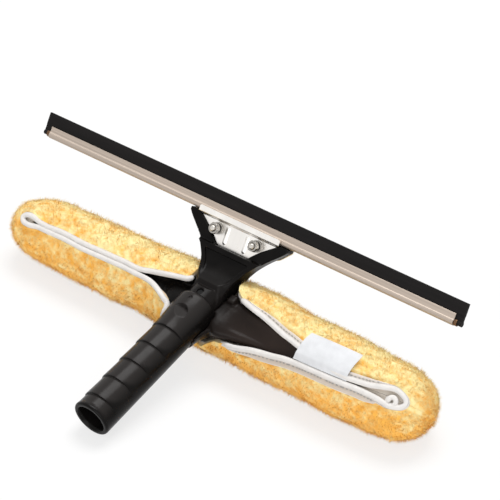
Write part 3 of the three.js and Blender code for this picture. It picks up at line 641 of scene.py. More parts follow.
def point_values(mesh, name, values):
    """Stores one number per point under a name that a material can read."""
    layer = mesh.attributes.new(name, "FLOAT", "POINT")
    layer.data.foreach_set("value", np.asarray(values, np.float32).ravel())


def corner_places(mesh, name, places):
    """Stores a UV map from one (u, v) per point."""
    layer = mesh.uv_layers.new(name=name)
    index = np.empty(len(mesh.loops), np.int32)
    mesh.loops.foreach_get("vertex_index", index)
    layer.data.foreach_set("uv", np.asarray(places, np.float32)[index].ravel())


def moulded_copy(name, solid, voxel, rounds):
    """Copy of a CAD node with softened edges, as a moulding has.

    The copy is merged and remeshed in small cells, and each round then moves every point half way to
    the mean of its neighbours and a little back out, so that edges round off and volume stays.
    """
    merged = bmesh.new()
    merged.from_mesh(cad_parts[solid].data)
    bmesh.ops.remove_doubles(merged, verts=merged.verts, dist=2e-6)
    plain = bpy.data.meshes.new(name + "_plain")
    merged.to_mesh(plain)
    merged.free()
    carrier = bpy.data.objects.new(name + "_plain", plain)
    bpy.context.scene.collection.objects.link(carrier)
    remesh = carrier.modifiers.new("cells", "REMESH")
    remesh.mode = "VOXEL"
    remesh.voxel_size = voxel
    remesh.adaptivity = 0
    found = carrier.evaluated_get(bpy.context.evaluated_depsgraph_get())
    mesh = bpy.data.meshes.new_from_object(found)
    mesh.name = name
    bpy.data.objects.remove(carrier)
    bpy.data.meshes.remove(plain)
    points = mesh_points(mesh)
    edges = np.empty(len(mesh.edges) * 2, np.int32)
    mesh.edges.foreach_get("vertices", edges)
    a, b = edges.reshape(-1, 2).T
    degree = np.bincount(np.concatenate([a, b]), minlength=len(points))[:, None]
    for step in np.tile([0.5, -0.46], rounds):
        sums = np.stack([
            np.bincount(a, points[b, k], len(points)) + np.bincount(b, points[a, k], len(points))
            for k in range(3)
        ], 1)
        points = points + step * (sums / degree - points)
    mesh.vertices.foreach_set("co", points.astype(np.float32).ravel())
    mesh.update()
    mesh.materials.clear()
    return mesh


# Finishes


def tree_of(name):
    """New material with its shader, as (material, node tree, shader)."""
    material = bpy.data.materials.new(name)
    material.use_nodes = True
    return material, material.node_tree, material.node_tree.nodes["Principled BSDF"]


def fill(tree, made, inputs):
    """Fills a node's inputs: another node's output is joined, any other value is written."""
    for key, value in inputs.items():
        if isinstance(value, bpy.types.NodeSocket):
            tree.links.new(value, made.inputs[key])
        else:
            made.inputs[key].default_value = value


def node(tree, kind, inputs=None, **settings):
    """Adds a node, sets it up and fills its inputs."""
    made = tree.nodes.new(kind)
    for key, value in settings.items():
        setattr(made, key, value)
    fill(tree, made, inputs or {})
    return made


def place(tree, scale=(1, 1, 1)):
    """Object coordinates in metres, stretched."""
    spot = node(tree, "ShaderNodeTexCoord").outputs["Object"]
    return node(tree, "ShaderNodeMapping", {"Vector": spot, "Scale": scale}).outputs["Vector"]


def stored(tree, name):
    """Number that the mesh's points store under a name."""
    return node(tree, "ShaderNodeAttribute", attribute_name=name).outputs["Fac"]


def noise(tree, vector, scale, detail=3.0, roughness=0.5):
    """Cloudy noise from 0 to 1."""
    inputs = {"Vector": vector, "Scale": scale, "Detail": detail, "Roughness": roughness}
    return node(tree, "ShaderNodeTexNoise", inputs).outputs["Fac"]


def ramp(tree, value, low, high, start=0.3, end=0.7):
    """Number that goes from low to high while value goes from start to end."""
    inputs = {"Value": value, "From Min": start, "From Max": end, "To Min": low, "To Max": high}
    return node(tree, "ShaderNodeMapRange", inputs).outputs["Result"]


def combine(tree, operation, first, second):
    """Sum, larger or other result of two numbers."""
    return node(tree, "ShaderNodeMath", {0: first, 1: second}, operation=operation).outputs[0]


def blend(tree, share, first, second):
    """Colour between first and second; the share is held between 0 and 1."""
    return node(tree, "ShaderNodeMix", {0: share, 6: first, 7: second}, data_type="RGBA").outputs[2]


def bump(tree, height, distance, strength=1.0):
    """Normal of a surface raised by height times distance."""
    inputs = {"Height": height, "Distance": distance, "Strength": strength}
    return node(tree, "ShaderNodeBump", inputs).outputs["Normal"]


def shade(colour, factor):
    """Colour with every channel times factor, with full opacity."""
    return tuple(min(c * factor, 1.0) for c in colour) + (1.0,)


def satin_plastic(name, colour, gleam, lit_colour):
    """Black moulding: fine spark texture and slightly uneven gloss.

    Its colour goes over to a painted sheen or painted light colour where its point attribute of painted
    light is 1.
    """
    material, tree, shader = tree_of(name)
    spot = place(tree)
    patches = noise(tree, spot, 90, 4)
    grain = noise(tree, spot, 3200, 2)
    tone = blend(tree, ramp(tree, patches, 0, 1), shade(colour, 0.7), shade(colour, 1.4))
    fill(tree, shader, {
        "Base Color": blend(tree, stored(tree, "painted_light"), tone, shade(lit_colour, 1.0)),
        "Roughness": ramp(tree, patches, 0.2, 0.28),
        "Normal": bump(tree, grain, 0.00003, 0.4),
        "Specular IOR Level": gleam,
    })
    return material


def blade_rubber(name, colour):
    """Matt rubber: dusty bloom in streaks along the blade and a very fine skin."""
    material, tree, shader = tree_of(name)
    streaks = noise(tree, place(tree, (14, 260, 260)), 1, 4)
    skin = noise(tree, place(tree), 2600, 2)
    fill(tree, shader, {
        "Base Color": blend(tree, ramp(tree, streaks, 0, 1), shade(colour, 0.75), shade(colour, 1.5)),
        "Roughness": ramp(tree, streaks, 0.5, 0.68),
        "Normal": bump(tree, skin, 0.00003, 0.4),
        "Specular IOR Level": 0.12,
    })
    return material


def brushed_steel(name, colour, gloss, stretched=(9, 1300, 1300), depth=0.000012, marks=1.0, lines=0.22):
    """Stainless steel brushed along X: fine scratches, broad soft bands and a few dull patches.

    Bands and scratches change the colour in step with marks; lines is the scratches' share of dark.
    """
    material, tree, shader = tree_of(name)
    scratches = noise(tree, place(tree, stretched), 1, 3, 0.6)
    bands = noise(tree, place(tree, (stretched[0] / 5, stretched[1] / 6, stretched[2] / 6)), 1, 2)
    dull = noise(tree, place(tree), 60, 3)
    darker, lighter = shade(colour, 1 - 0.14 * marks), shade(colour, 1 + 0.1 * marks)
    tone = blend(tree, ramp(tree, bands, 0, 1), darker, lighter)
    fill(tree, shader, {
        "Base Color": blend(tree, ramp(tree, scratches, 0, lines * marks), tone, shade(colour, 0.75)),
        "Roughness": ramp(tree, dull, *gloss),
        "Normal": bump(tree, scratches, depth, 0.6),
        "Metallic": 1.0,
    })
    return material


def turned_steel(name, colour):
    """Plain hardware steel: cloudy plating and small nicks."""
    material, tree, shader = tree_of(name)
    spot = place(tree)
    clouds = noise(tree, spot, 420, 4)
    nicks = noise(tree, spot, 2400, 2)
    fill(tree, shader, {
        "Base Color": blend(tree, ramp(tree, clouds, 0, 1), shade(colour, 0.75), shade(colour, 1.15)),
        "Roughness": ramp(tree, clouds, 0.22, 0.38),
        "Normal": bump(tree, nicks, 0.00002, 0.5),
        "Metallic": 1.0,
    })
    return material


def golden_plush(name, pale, deep):
    """Plush pile: deep gold at the roots and in hollows as painted shade, pale gold at the tips and on top
    as painted light, mottled in clumps of a few millimetres.

    The share of pale is the sum of the point attribute "tip", two noises and the attribute "tuft"; both
    attributes carry painted shade in hollows and painted light on top.
    Where the attribute "lining" is 1, the cloth takes the colour of bare backing.
    """
    material, tree, shader = tree_of(name)
    spot = place(tree)
    share = stored(tree, "tip")
    for change in (
        ramp(tree, noise(tree, spot, 320, 3, 0.6), -0.35, 0.35),
        ramp(tree, noise(tree, spot, 42, 2), -0.25, 0.2),
        ramp(tree, stored(tree, "tuft"), -0.3, 0.3, 0, 1),
    ):
        share = combine(tree, "ADD", share, change)
    gold = blend(tree, share, shade(deep, 1), shade(pale, 1))
    fill(tree, shader, {
        "Base Color": blend(tree, stored(tree, "lining"), gold, (0.7, 0.64, 0.57, 1)),
        "Roughness": 0.85,
        "Specular IOR Level": 0.1,
        "Sheen Weight": 0.35,
        "Sheen Roughness": 0.5,
        "Sheen Tint": shade(pale, 1),
    })
    return material


def woven_cloth(name, colour, threads, depth, uv):
    """White cloth: crossing threads on the piece's own UV map, with uneven yarn and faint soiling.

    Where the point attribute "raw" is above 0, the cloth takes the beige of unbleached tape.
    """
    material, tree, shader = tree_of(name)
    spot = node(tree, "ShaderNodeUVMap", uv_map=uv).outputs["UV"]
    wave = {"Vector": spot, "Scale": threads, "Distortion": 0.6}
    along, across = (
        node(tree, "ShaderNodeTexWave", wave, wave_type="BANDS", bands_direction=way).outputs["Fac"]
        for way in "XY"
    )
    weave = combine(tree, "MAXIMUM", along, across)
    soil = noise(tree, place(tree), 160, 4)
    tone = blend(tree, ramp(tree, soil, 0, 1), shade(colour, 0.93), shade(colour, 1.03))
    tone = blend(tree, ramp(tree, weave, 0.22, 0, 0.2, 0.9), tone, shade(colour, 0.72))
    fill(tree, shader, {
        "Base Color": blend(tree, stored(tree, "raw"), tone, (0.62, 0.5, 0.39, 1)),
        "Normal": bump(tree, weave, depth, 0.7),
        "Roughness": ramp(tree, soil, 0.75, 0.9),
        "Specular IOR Level": 0.2,
    })
    return material


def white_rays(tree):
    """1 for rays from the camera, off glossy surfaces and through clear ones, else 0."""
    path = node(tree, "ShaderNodeLightPath").outputs
    some = combine(tree, "MAXIMUM", path["Is Camera Ray"], path["Is Glossy Ray"])
    return combine(tree, "MAXIMUM", some, path["Is Transmission Ray"])


def white_floor(name, colour):
    """Pale floor that the camera and reflections see as white, but for a soft share of its shadow."""
    material, tree, shader = tree_of(name)
    fill(tree, shader, {"Base Color": shade(colour, 1), "Roughness": 0.9, "Specular IOR Level": 0.1})
    seen = node(tree, "ShaderNodeEmission", {"Color": (1, 1, 1, 1), "Strength": 1.0}).outputs[0]
    share = ramp(tree, white_rays(tree), 0, 0.72, 0, 1)
    mixed = node(tree, "ShaderNodeMixShader", {0: share, 1: shader.outputs[0], 2: seen}).outputs[0]
    fill(tree, tree.nodes["Material Output"], {"Surface": mixed})
    return material


# Pieces of the blade


def rubber_outline():
    """Rubber's section: square wiping edge, slight taper, and a round bead below the channel's lips."""
    half, root, foot = RUBBER_HALF, RUBBER_ROOT_HALF, -RUBBER_EXPOSED
    corners = [(0, -half), (0, half), (foot + 0.3, root), (foot, half), (foot, -half), (foot + 0.3, -root)]
    blade = rounded(corners, 0.12, 3)
    upper, lower = np.split(blade, [12])
    neck = math.asin(half / BEAD_RADIUS)
    angle = np.linspace(neck, 2 * np.pi - neck, 30)
    bead = np.stack([-BEAD_DEPTH + BEAD_RADIUS * np.cos(angle), BEAD_RADIUS * np.sin(angle)], 1)
    return np.concatenate([upper, bead, lower])


def channel_outline():
    """Channel's section: flat upper walls, a step out, and a fuller rounded fold at the bottom.

    The wall's outside and inside are polylines about the sheet's thickness apart. Each is mirrored to
    the other wall, and all corners are eased.
    """
    outside = np.array([
        (-RUBBER_EXPOSED, 2.0), (-12.1, 2.2), (-12.6, 2.3), (-13.3, 2.9), (-14.3, 3.1), (-15.4, 3.05),
        (-16.2, 2.6), (-16.8, 1.7), (-CHANNEL_BOTTOM, 0.6),
    ])
    inside = np.array([
        (-CHANNEL_BOTTOM + CHANNEL_WALL, 0.5), (-16.1, 1.2), (-15.7, 1.9), (-15.1, 2.3), (-14.3, 2.35),
        (-13.7, 2.25), (-12.8, 1.6), (-12.1, 1.45), (-RUBBER_EXPOSED, 1.25),
    ])
    mirrored = (1, -1)
    around = [outside, outside[::-1] * mirrored, inside[::-1] * mirrored, inside]
    return rounded(np.concatenate(around), 0.25, 4)


def clip_grid(stations):
    """End clip: an open ring about the bead at each X of stations, with thinner end sections."""
    angle = np.radians(np.linspace(CLIP_MOUTH, 360 - CLIP_MOUTH, 36))
    arc = np.stack([np.cos(angle), np.sin(angle)], 1)

    def ring(outside, inside):
        """Section between two radii."""
        return np.concatenate([arc * outside, arc[::-1] * inside]) - (BEAD_DEPTH, 0)

    grid = carried_along_x(ring(*CLIP_RADII), stations)
    grid[[0, -1], :, 1:] = ring(*CLIP_END_RADII)
    return grid


def build_blade(settings):
    """Rubber, channel and end clips, each a section carried along X."""
    half = settings.length / 2 / MM
    ends = np.array([-half, -half + 0.12])
    stations = np.concatenate([ends, np.linspace(-half + 4, half - 4, 48), -ends[::-1]])
    mesh = mesh_of("blade_strip", *capped_tube(on_head(carried_along_x(rubber_outline(), stations))))
    rubber = blade_rubber("blade_rubber", settings.rubber)
    piece(mesh, rubber, "blade_carriage", ["rubber_blade"])

    half = settings.channel_length / 2 / MM
    stations = np.linspace(-half, half, 61)
    mesh = mesh_of("blade_channel", *capped_tube(on_head(carried_along_x(channel_outline(), stations))))
    steel = brushed_steel("channel_brushed", settings.channel, (0.5, 0.6), (6, 1300, 1300), lines=1.0)
    piece(mesh, steel, "blade_carriage", ["squeegee_channel"])

    brass = turned_steel("clip_brass", settings.clip)
    for side, sign in (("left", -1), ("right", 1)):
        stations = sign * (half + CLIP_GAP + np.array(CLIP_STATIONS))
        mesh = mesh_of(f"bead_clip_{side}", *capped_tube(on_head(clip_grid(stations))))
        piece(mesh, brass, "blade_carriage", [f"end_clip_{side}"])


# Pieces of the clamp


def plate_grid(rib_height):
    """Clamp plate as closed sections across X, one for every depth.

    Half width follows the arms' inner edges and narrows to the tongue; the front steps out over the
    channel as a smooth S, two pressed ribs add to it, and the back keeps the sheet's thickness.
    """
    corner_end = LIP_TOP + LIP_CORNER
    depth = np.concatenate([
        np.linspace(LIP_TOP, corner_end, 8),
        np.linspace(14.8, 21.5, 40),
        np.linspace(21.8, TONGUE_DEPTH, 60),
    ])
    tongue = np.interp(depth, [TONGUE_START, TONGUE_DEPTH], TONGUE_HALF)
    between_arms = np.minimum(curve(ARM_INSIDE)(-depth) - ARM_GAP, LIP_HALF)
    half = np.where(depth < TONGUE_START, between_arms, tongue)
    half = np.where(depth < LIP_END, LIP_HALF, half)
    half = half - LIP_CORNER * eased(np.clip((corner_end - depth) / LIP_CORNER, 0, 1))
    rise = LIP_RISE * (1 - smoothstep(depth, *LIP_BEND))
    thick = PLATE_THICK * np.interp(depth, [LIP_TOP, LIP_TOP + 0.5], [0.55, 1])

    depth, half, rise, thick = (values[:, None] for values in (depth, half, rise, thick))
    x = np.linspace(-1, 1, 121) * (half - 0.12)
    past = np.maximum(np.abs(depth - RIB_DEPTH) - RIB_HALF, 0)
    rib = sum(
        np.clip(1 - ((x - middle) ** 2 + past ** 2) / RIB_RADIUS ** 2, 0, 1) ** 1.5
        for middle in (-RIB_X, RIB_X)
    )
    front = PLATE_FRONT + rise + rib_height * rib
    back = np.broadcast_to(PLATE_FRONT + rise - thick, x.shape)
    edge = (front[:, :1] + back[:, :1]) / 2
    section_x = np.concatenate([x, half, x[:, ::-1], -half], 1)
    section_z = np.concatenate([front, edge, back, edge], 1)
    return np.stack(np.broadcast_arrays(section_x, -depth, section_z), -1)


def jaw_grid():
    """Rear jaw: one outline at four heights, drawn in a little at the front and the back."""
    corners = JAW_CORNERS + [(-x, y) for x, y in reversed(JAW_CORNERS)]
    outline = rounded(corners, 1.4, 6)
    narrow = inset(outline, JAW_EASE)
    back = JAW_FRONT - JAW_THICK
    front = JAW_FRONT
    rings = ((narrow, back), (outline, back + JAW_EASE), (outline, front - JAW_EASE), (narrow, front))
    return np.stack([np.column_stack([ring, np.full(len(ring), height)]) for ring, height in rings])


def bolt_grid(pitch):
    """Bolt from the rear: chamfered hexagon head, threaded shank and a chamfered end.

    The thread's radius is a cosine along the shank that climbs one pitch a turn.
    """
    head = np.array([
        (0.4, -2.8), (3.3, -2.8), (3.6, -2.7), (4.3, -2.25), (4.3, -0.1), (3.9, 0), (BOLT_RADIUS, 0),
    ])
    end = np.array([(1.75, -0.25), (1.45, 0), (0.4, 0)])
    height = np.linspace(BOLT_SEAT + 0.2, BOLT_END - 0.5, 150)[:, None]
    angle = full_turn(48)
    turns = height / pitch - angle / (2 * np.pi)
    radius = BOLT_RADIUS - THREAD_DEPTH * (0.5 - 0.5 * np.cos(2 * np.pi * turns))
    return np.concatenate([
        turned_on_bolt(head + (0, BOLT_SEAT), 48, hexagon),
        turned(radius, angle, height),
        turned_on_bolt(end + (0, BOLT_END), 48),
    ])


def nut_grid():
    """Nut: hexagon held down by chamfer cones, with countersunk mouths and a plain bore."""
    low, top = NUT_LOW, NUT_TOP
    path = np.array([
        (2.12, low + 0.4), (2.5, low), (3.3, low), (3.5, low + 0.05), (4.3, low + 0.5), (4.3, top - 0.5),
        (3.5, top - 0.05), (3.3, top), (2.5, top), (2.12, top - 0.4),
    ])
    return turned_on_bolt(path, 72, hexagon)


def ring_section(outer, thick, ease):
    """Washer's section from the hole out, with eased corners."""
    return rounded([(HOLE_RADIUS, 0), (outer, 0), (outer, thick), (HOLE_RADIUS, thick)], ease, 3)


def washer_grid():
    """Flat washer: its section turned about the bolt."""
    return turned_on_bolt(ring_section(WASHER_RADIUS, WASHER_THICK, 0.15) + (0, WASHER_LOW), 56)


def split_grid():
    """Spring washer: its section carried round almost a full turn while it climbs a little."""
    angle = np.radians(np.linspace(186, 534, 64))[:, None]
    climb = np.linspace(-LOCK_CLIMB, LOCK_CLIMB, 64)[:, None]
    radius, height = ring_section(LOCK_RADIUS, LOCK_THICK, 0.12).T[:, None, :]
    return turned(radius, angle, LOCK_LOW + height + climb)


def build_clamp(settings):
    """Clamp plate, rear jaw, and on each bolt a flat washer, a split washer and a nut."""
    bright = brushed_steel("plate_bright", settings.plate, (0.24, 0.34), (700, 16, 16), 0.000002, 0.4)
    mesh = mesh_of("pressed_plate", *capped_tube(on_head(plate_grid(settings.rib_height / MM))))
    piece(mesh, bright, "clamp", ["clamp_plate"])

    jaw_steel = brushed_steel("jaw_steel", settings.plate, (0.24, 0.36))
    mesh = mesh_of("backing_jaw", *capped_tube(on_head(jaw_grid())))
    piece(mesh, jaw_steel, "handle_and_yoke", ["rear_jaw"])

    steel = turned_steel("fastener_steel", settings.fastener)
    # Lit and shaded copies of the fastener steel: bolts painted brighter as a painted highlight on their
    # ends, spring washers near-black as painted shade beside the nuts
    painted_bright_bolt = turned_steel("bolt_steel", shade(settings.fastener, 1.6)[:3])
    painted_dark_washer = turned_steel("spring_steel", shade(settings.fastener, 0.16)[:3])
    bolt = bolt_grid(settings.thread_pitch / MM)
    for side, sign in (("left", -1), ("right", 1)):
        spot = np.array([sign * BOLT_X, -BOLT_DEPTH, 0])
        for name, grid, tube, finish, body, stands_for in (
            ("hex_bolt", bolt, capped_tube, painted_bright_bolt, "handle_and_yoke", "clamp_bolt"),
            ("hex_nut", nut_grid(), looped_tube, steel, f"nut_{side}", "clamp_nut"),
            ("plain_washer", washer_grid(), looped_tube, steel, "clamp", "flat_washer"),
            ("spring_washer", split_grid(), capped_tube, painted_dark_washer, "clamp", "lock_washer"),
        ):
            mesh = mesh_of(f"{name}_{side}", *tube(on_head(grid + spot)))
            piece(mesh, finish, body, [f"{stands_for}_{side}"])


# Black mouldings


def grip_stations(pitch):
    """Places along the handle at which its rings lie, closest at the rim, the steps and the shoulder."""
    edges = STEP_FIRST - pitch * np.arange(STEP_COUNT)
    beside = np.array([-0.3, -0.12, -0.03, 0.1, 0.3, 0.5, 0.8])
    return np.unique(np.round(np.concatenate([
        [0, 0.06, 0.2, 0.45, 0.8, 1.2, RIM_LENGTH],
        np.arange(2.4, 86, 0.75),
        np.arange(86, 112, 0.3),
        np.linspace(SHOULDER_FROM, SHOULDER_AT, 14),
        (beside[:, None] + edges).ravel(),
    ]), 3))


def grip_outside(settings, angle):
    """Outside of the handle as rings, and the share of painted sheen on it.

    The body is round, swells towards the head and is eased at both ends by quarter circles. A step
    lowers the body's top by a depth that falls with the cosine of the angle from the top and runs out
    over one pitch towards the open end. The thumb recess is a tilted flat inside a circle, the gate mark
    a small pit. Painted sheen lies on the steps and the top behind them, most at the top.
    """
    pitch = settings.step_pitch / MM
    t = grip_stations(pitch)[:, None]

    def swollen(at):
        """Radius of the plain body."""
        return settings.radius / MM + SWELL * smoothstep(at, *SWELL_SPAN)

    mouth = eased(np.clip((RIM_LENGTH - t) / RIM_LENGTH, 0, 1))
    shoulder = eased(np.clip((t - SHOULDER_FROM) / SHOULDER_LENGTH, 0, 1))
    body = swollen(t) - RIM_DROP * mouth - SHOULDER_DROP * shoulder
    behind = STEP_FIRST - t
    within = (behind >= 0) & (behind < pitch * STEP_COUNT)
    soft = np.where(within, smoothstep(behind % pitch, 0, 0.4), 0) * smoothstep(t, 0.5, 5)
    run_out = 1 - STEP_RUN_OUT * (behind % pitch) / pitch
    drop = (settings.step_depth / MM + STEP_SPREAD) * run_out * np.cos(angle) - STEP_SPREAD
    radius = body - soft * np.maximum(drop, 0)
    # Painted sheen: a paler colour on the steps and the crown, fading away from the top
    tread = soft * smoothstep(drop, 0, 0.3)
    crown = smoothstep(t, STEP_FIRST, STEP_FIRST + 1)
    painted_light = np.maximum(tread, crown) * smoothstep(np.cos(angle), 0.3, 0.95)

    x = radius * np.sin(angle)
    z = radius * np.cos(angle)
    flat = swollen(THUMB_AT) - THUMB_DEPTH - THUMB_SLOPES[1] * (t - THUMB_AT) - THUMB_SLOPES[0] * x
    recess = 1 - smoothstep(np.hypot(x, t - THUMB_AT), THUMB_RADIUS - 0.35, THUMB_RADIUS + 0.25)
    pit = 1 - smoothstep(np.hypot(x, t - GATE_AT), 0.8, 1.5)
    cut = recess * np.minimum(flat - z, 0) - GATE_DEPTH * pit
    z = np.where(z > 0, z + cut, z)
    return np.stack(np.broadcast_arrays(x, t, z), -1), painted_light


def grip_grid(settings):
    """Handle as closed rings from the bottom of the pole socket round to the spigot, with its painted sheen.

    Socket and spigot are paths turned about the handle's axis.
    """
    angle = np.linspace(-np.pi, np.pi, GRIP_COLUMNS, endpoint=False)[None]

    def rings(path):
        """Path (radius, place along the handle) turned about the axis."""
        radius, along = np.array(path, float).T[..., None]
        return np.stack(np.broadcast_arrays(radius * np.sin(angle), along, radius * np.cos(angle)), -1)

    outside, painted_light = grip_outside(settings, angle)
    grid = np.concatenate([rings(SOCKET), outside, rings(SPIGOT)])
    return grid, np.pad(painted_light, ((len(SOCKET), len(SPIGOT)), (0, 0)))


def build_handle(settings):
    """Handle grip from its rings, with painted sheen that makes it palest on the steps and the crown."""
    plastic = satin_plastic("handle_plastic", settings.plastic, 0.085, GRIP_SHEEN)
    grid, painted_light = grip_grid(settings)
    mesh = mesh_of("stepped_grip", *capped_tube(on_handle(grid)))
    point_values(mesh, "painted_light", painted_light)
    piece(mesh, plastic, "handle_and_yoke", ["handle_grip"], 28)


def build_yoke(settings):
    """Yoke and T-bar: copies of their solids with softened edges, and the two fixing screws' finish.

    The yoke carries painted sheen by the handle, and the T-bar painted light along its right wing.
    """
    plastic = satin_plastic("yoke_plastic", settings.plastic, 0.07, YOKE_SHEEN)
    yoke = moulded_copy("forked_yoke", "squeegee_yoke", 0.00048, 16)
    # Painted sheen on the yoke's collar by the handle, fading out up the neck
    point_values(yoke, "painted_light", np.interp(mesh_points(yoke)[:, 1], YOKE_SHEEN_Y, [1, 0]))
    piece(yoke, plastic, "handle_and_yoke", ["squeegee_yoke"], 50)
    bar_plastic = satin_plastic("t_bar_plastic", settings.plastic, 0.07, T_BAR_LIT)
    bar = moulded_copy("winged_t_bar", "t_bar", 0.0007, 30)
    # Painted light: the right wing turns paler from 10 to 60 mm out as a painted reflection, while the part
    # by the handle stays black as painted shade
    point_values(bar, "painted_light", np.interp(mesh_points(bar)[:, 0], T_BAR_LIT_X, [0, 1]))
    piece(bar, bar_plastic, "handle_and_yoke", ["t_bar"], 50)
    # Both fixing screws get a near-black matt finish
    dark = blade_rubber("near_black_screw", (0.006, 0.006, 0.006))
    for name in ("yoke_screw", "t_bar_screw"):
        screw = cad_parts[name].data
        screw.materials.clear()
        screw.materials.append(dark)


# Washing sleeve


def sleeve_reach(x, half=SLEEVE_HALF):
    """Radius of the pile's outside at X, drawn in to nothing at the rounded ends."""
    past = np.clip((np.abs(x) - (half - SLEEVE_ROUNDING)) / SLEEVE_ROUNDING, 0, 1)
    return curve(SLEEVE_RADIUS)(x) * (1 - past ** 2.4) ** (1 / 2.4)


def sleeve_slack(x, degrees):
    """Depth by which the loose sleeve falls in at X and an angle.

    Behind the top it falls in towards both ends, and below the lower lip on both sides of the handle;
    round the sleeve each hollow fades out as a bell curve.
    """
    behind = np.exp(-(turn_from(degrees, 133) / 66) ** 2)
    below = np.exp(-(turn_from(degrees, -47) / 34) ** 2)
    ends = 2.6 * smoothstep(x, 24, 140) + 3.4 * (1 - smoothstep(x, -172, -140))
    beside = 1.5 * stretch(x, *HOLLOW_LEFT) + 2.0 * stretch(x, *HOLLOW_RIGHT)
    return ends * behind + beside * below


def sleeve_outside(x, degrees):
    """Radius of the pile's outside at X and an angle.

    To the plain reach it adds soft unevenness, a swelling over the left wing's root and the slack, and
    the press against the table holds the radius to the flat below.
    """
    angle = np.radians(degrees)
    reach = sleeve_reach(x)
    lumps = ripple(x / 26, np.cos(angle) * 1.3, np.sin(angle) * 1.3, seed=4) * 0.7
    small = ripple(x / 9, np.cos(angle) * 3.4, np.sin(angle) * 3.4, seed=9, count=9) * 0.6
    swelling = 5.6 * np.exp(-((x + 23.5) / 11) ** 2 - (turn_from(degrees, 14) / 20) ** 2)
    out = reach + (lumps + small - sleeve_slack(x, degrees)) * np.clip(reach / 20, 0, 1) + swelling
    down = -np.sin(angle)
    table = np.where(down > 0.3, (SLEEVE_AXIS[1] - 0.4) / np.maximum(down, 0.3), np.inf)
    return np.minimum(out, table)


def clump_height(x, degrees):
    """Height of the plush's clumps above the cloth, about 0.5 to 1.7 mm.

    It is the sum of three lattice noises, 7, 3.4 and 1.6 mm wide, so clumps and hollows are both round.
    """
    on_cloth = round_sleeve(x, sleeve_reach(x), degrees)
    sizes = ((0.8, 7.0, 3), (0.9, 3.4, 1), (0.5, 1.6, 2))
    return sum(height * lattice_noise(on_cloth, cell, seed) for height, cell, seed in sizes)


def lip_wave(x):
    """Angle by which the lips wander together along X, none at the neck, the label and the loops."""
    loose = sum(stretch(x, *span) for span in WAVE_SPANS)
    return 1.6 * loose * ripple(x / 38, seed=12)


def flange_share(x):
    """Share of the binding's flange that lies flat on the fleece at X: all of it along the right half."""
    return stretch(x, *FLANGE_SPAN)


def painted_top_light(degrees):
    """Painted light: share of pale gold by the way the cloth faces, little at the front and below, most on
    top.
    """
    return 0.18 + 0.42 * np.sin(np.radians(degrees) - 0.35)


def slit_edges(x):
    """Lower and upper angle of the slit at X; outside the slit both are the same."""
    lower = np.interp(x, *np.array(LOWER_EDGE).T) + lip_wave(x)
    upper = np.interp(x, *np.array(UPPER_EDGE).T) + lip_wave(x)
    return lower, upper


def sleeve_stations():
    """X of the sleeve's sections, closest beside the neck and towards the rounded ends."""
    ends = SLEEVE_HALF - 0.1 - SLEEVE_ROUNDING * np.linspace(0, 1, 24) ** 2
    stations = [np.linspace(-148, 148, 330), np.linspace(-30, 32, 20), ends, -ends]
    return np.unique(np.round(np.concatenate(stations), 2))


def build_sleeve(settings):
    """Backing cloth of the sleeve, as a thick sheet bent round the T-bar from lip to lip.

    A section is the outside from the lower lip, under and behind to the upper lip, raised in small
    clumps and pressed down under the binding's flange, and the inside back again, a cloth deeper.
    Inside the binding's two end loops the slit is closed by sunken lining.
    """
    x = sleeve_stations()[:, None]
    reach = sleeve_reach(x)
    lower, upper = slit_edges(x)
    middle = (lower + upper) / 2
    opening = stretch(x, *SLIT_OPEN)
    from_angle = middle - opening * (middle - lower) - 0.2
    to_angle = middle + opening * (upper - middle) + 0.2
    around = 360 - (to_angle - from_angle)

    degrees = from_angle - np.linspace(0, 1, OUTSIDE_COLUMNS) * around
    hem = (degrees - lower) % 360
    in_loop = (hem > 0.5) & (hem < upper - lower - 0.5) & (x > LINING_X[0]) & (x < LINING_X[1])
    lining = np.where(in_loop, 1.0, 0.0)
    clumps = clump_height(x, degrees) * (1 - lining)
    from_lip = np.radians(np.minimum(lower - degrees, degrees + 360 - upper)) * reach
    dent = 1.3 * stretch(x, *DENT_SPAN) * (1 - smoothstep(from_lip, 4.4, 7.2))
    skin = sleeve_outside(x, degrees) - CLOTH_DEPTH - LINING_DEPTH * lining + clumps - dent
    skin = np.maximum(skin, LEAST_REACH * reach)

    back_degrees = to_angle - 360 + np.linspace(0, 1, INSIDE_COLUMNS) * around
    inner = np.maximum(sleeve_outside(x, back_degrees) - 1.3, LEAST_REACH * reach)
    drawn_in = 1 - 0.98 * smoothstep(np.abs(x), 176, 177.4)
    inner = np.maximum(inner - CLOTH_THICK, 0.4 * inner) * drawn_in

    grid = np.concatenate([round_sleeve(x, skin, degrees), round_sleeve(x, inner, back_degrees)], 1)
    mesh = mesh_of("fleece_sleeve", *capped_tube(grid * MM))
    # Share of pale: painted shade in the hollows between clumps and painted light on top
    tip = clumps - 0.85 + painted_top_light(degrees)
    hidden = np.repeat(np.where(np.abs(x) < 172, 1.0, 0.0), INSIDE_COLUMNS, 1)
    point_values(mesh, "tip", np.pad(tip, ((0, 0), (0, INSIDE_COLUMNS))))
    point_values(mesh, "tuft", np.full(grid.shape[:2], 0.5))
    point_values(mesh, "lining", np.concatenate([lining, hidden], 1))
    plush = golden_plush("golden_plush", settings.pale, settings.deep)
    sleeve = piece(mesh, plush, "handle_and_yoke", ["washer_sleeve"], 60)
    build_pile(settings, plush)


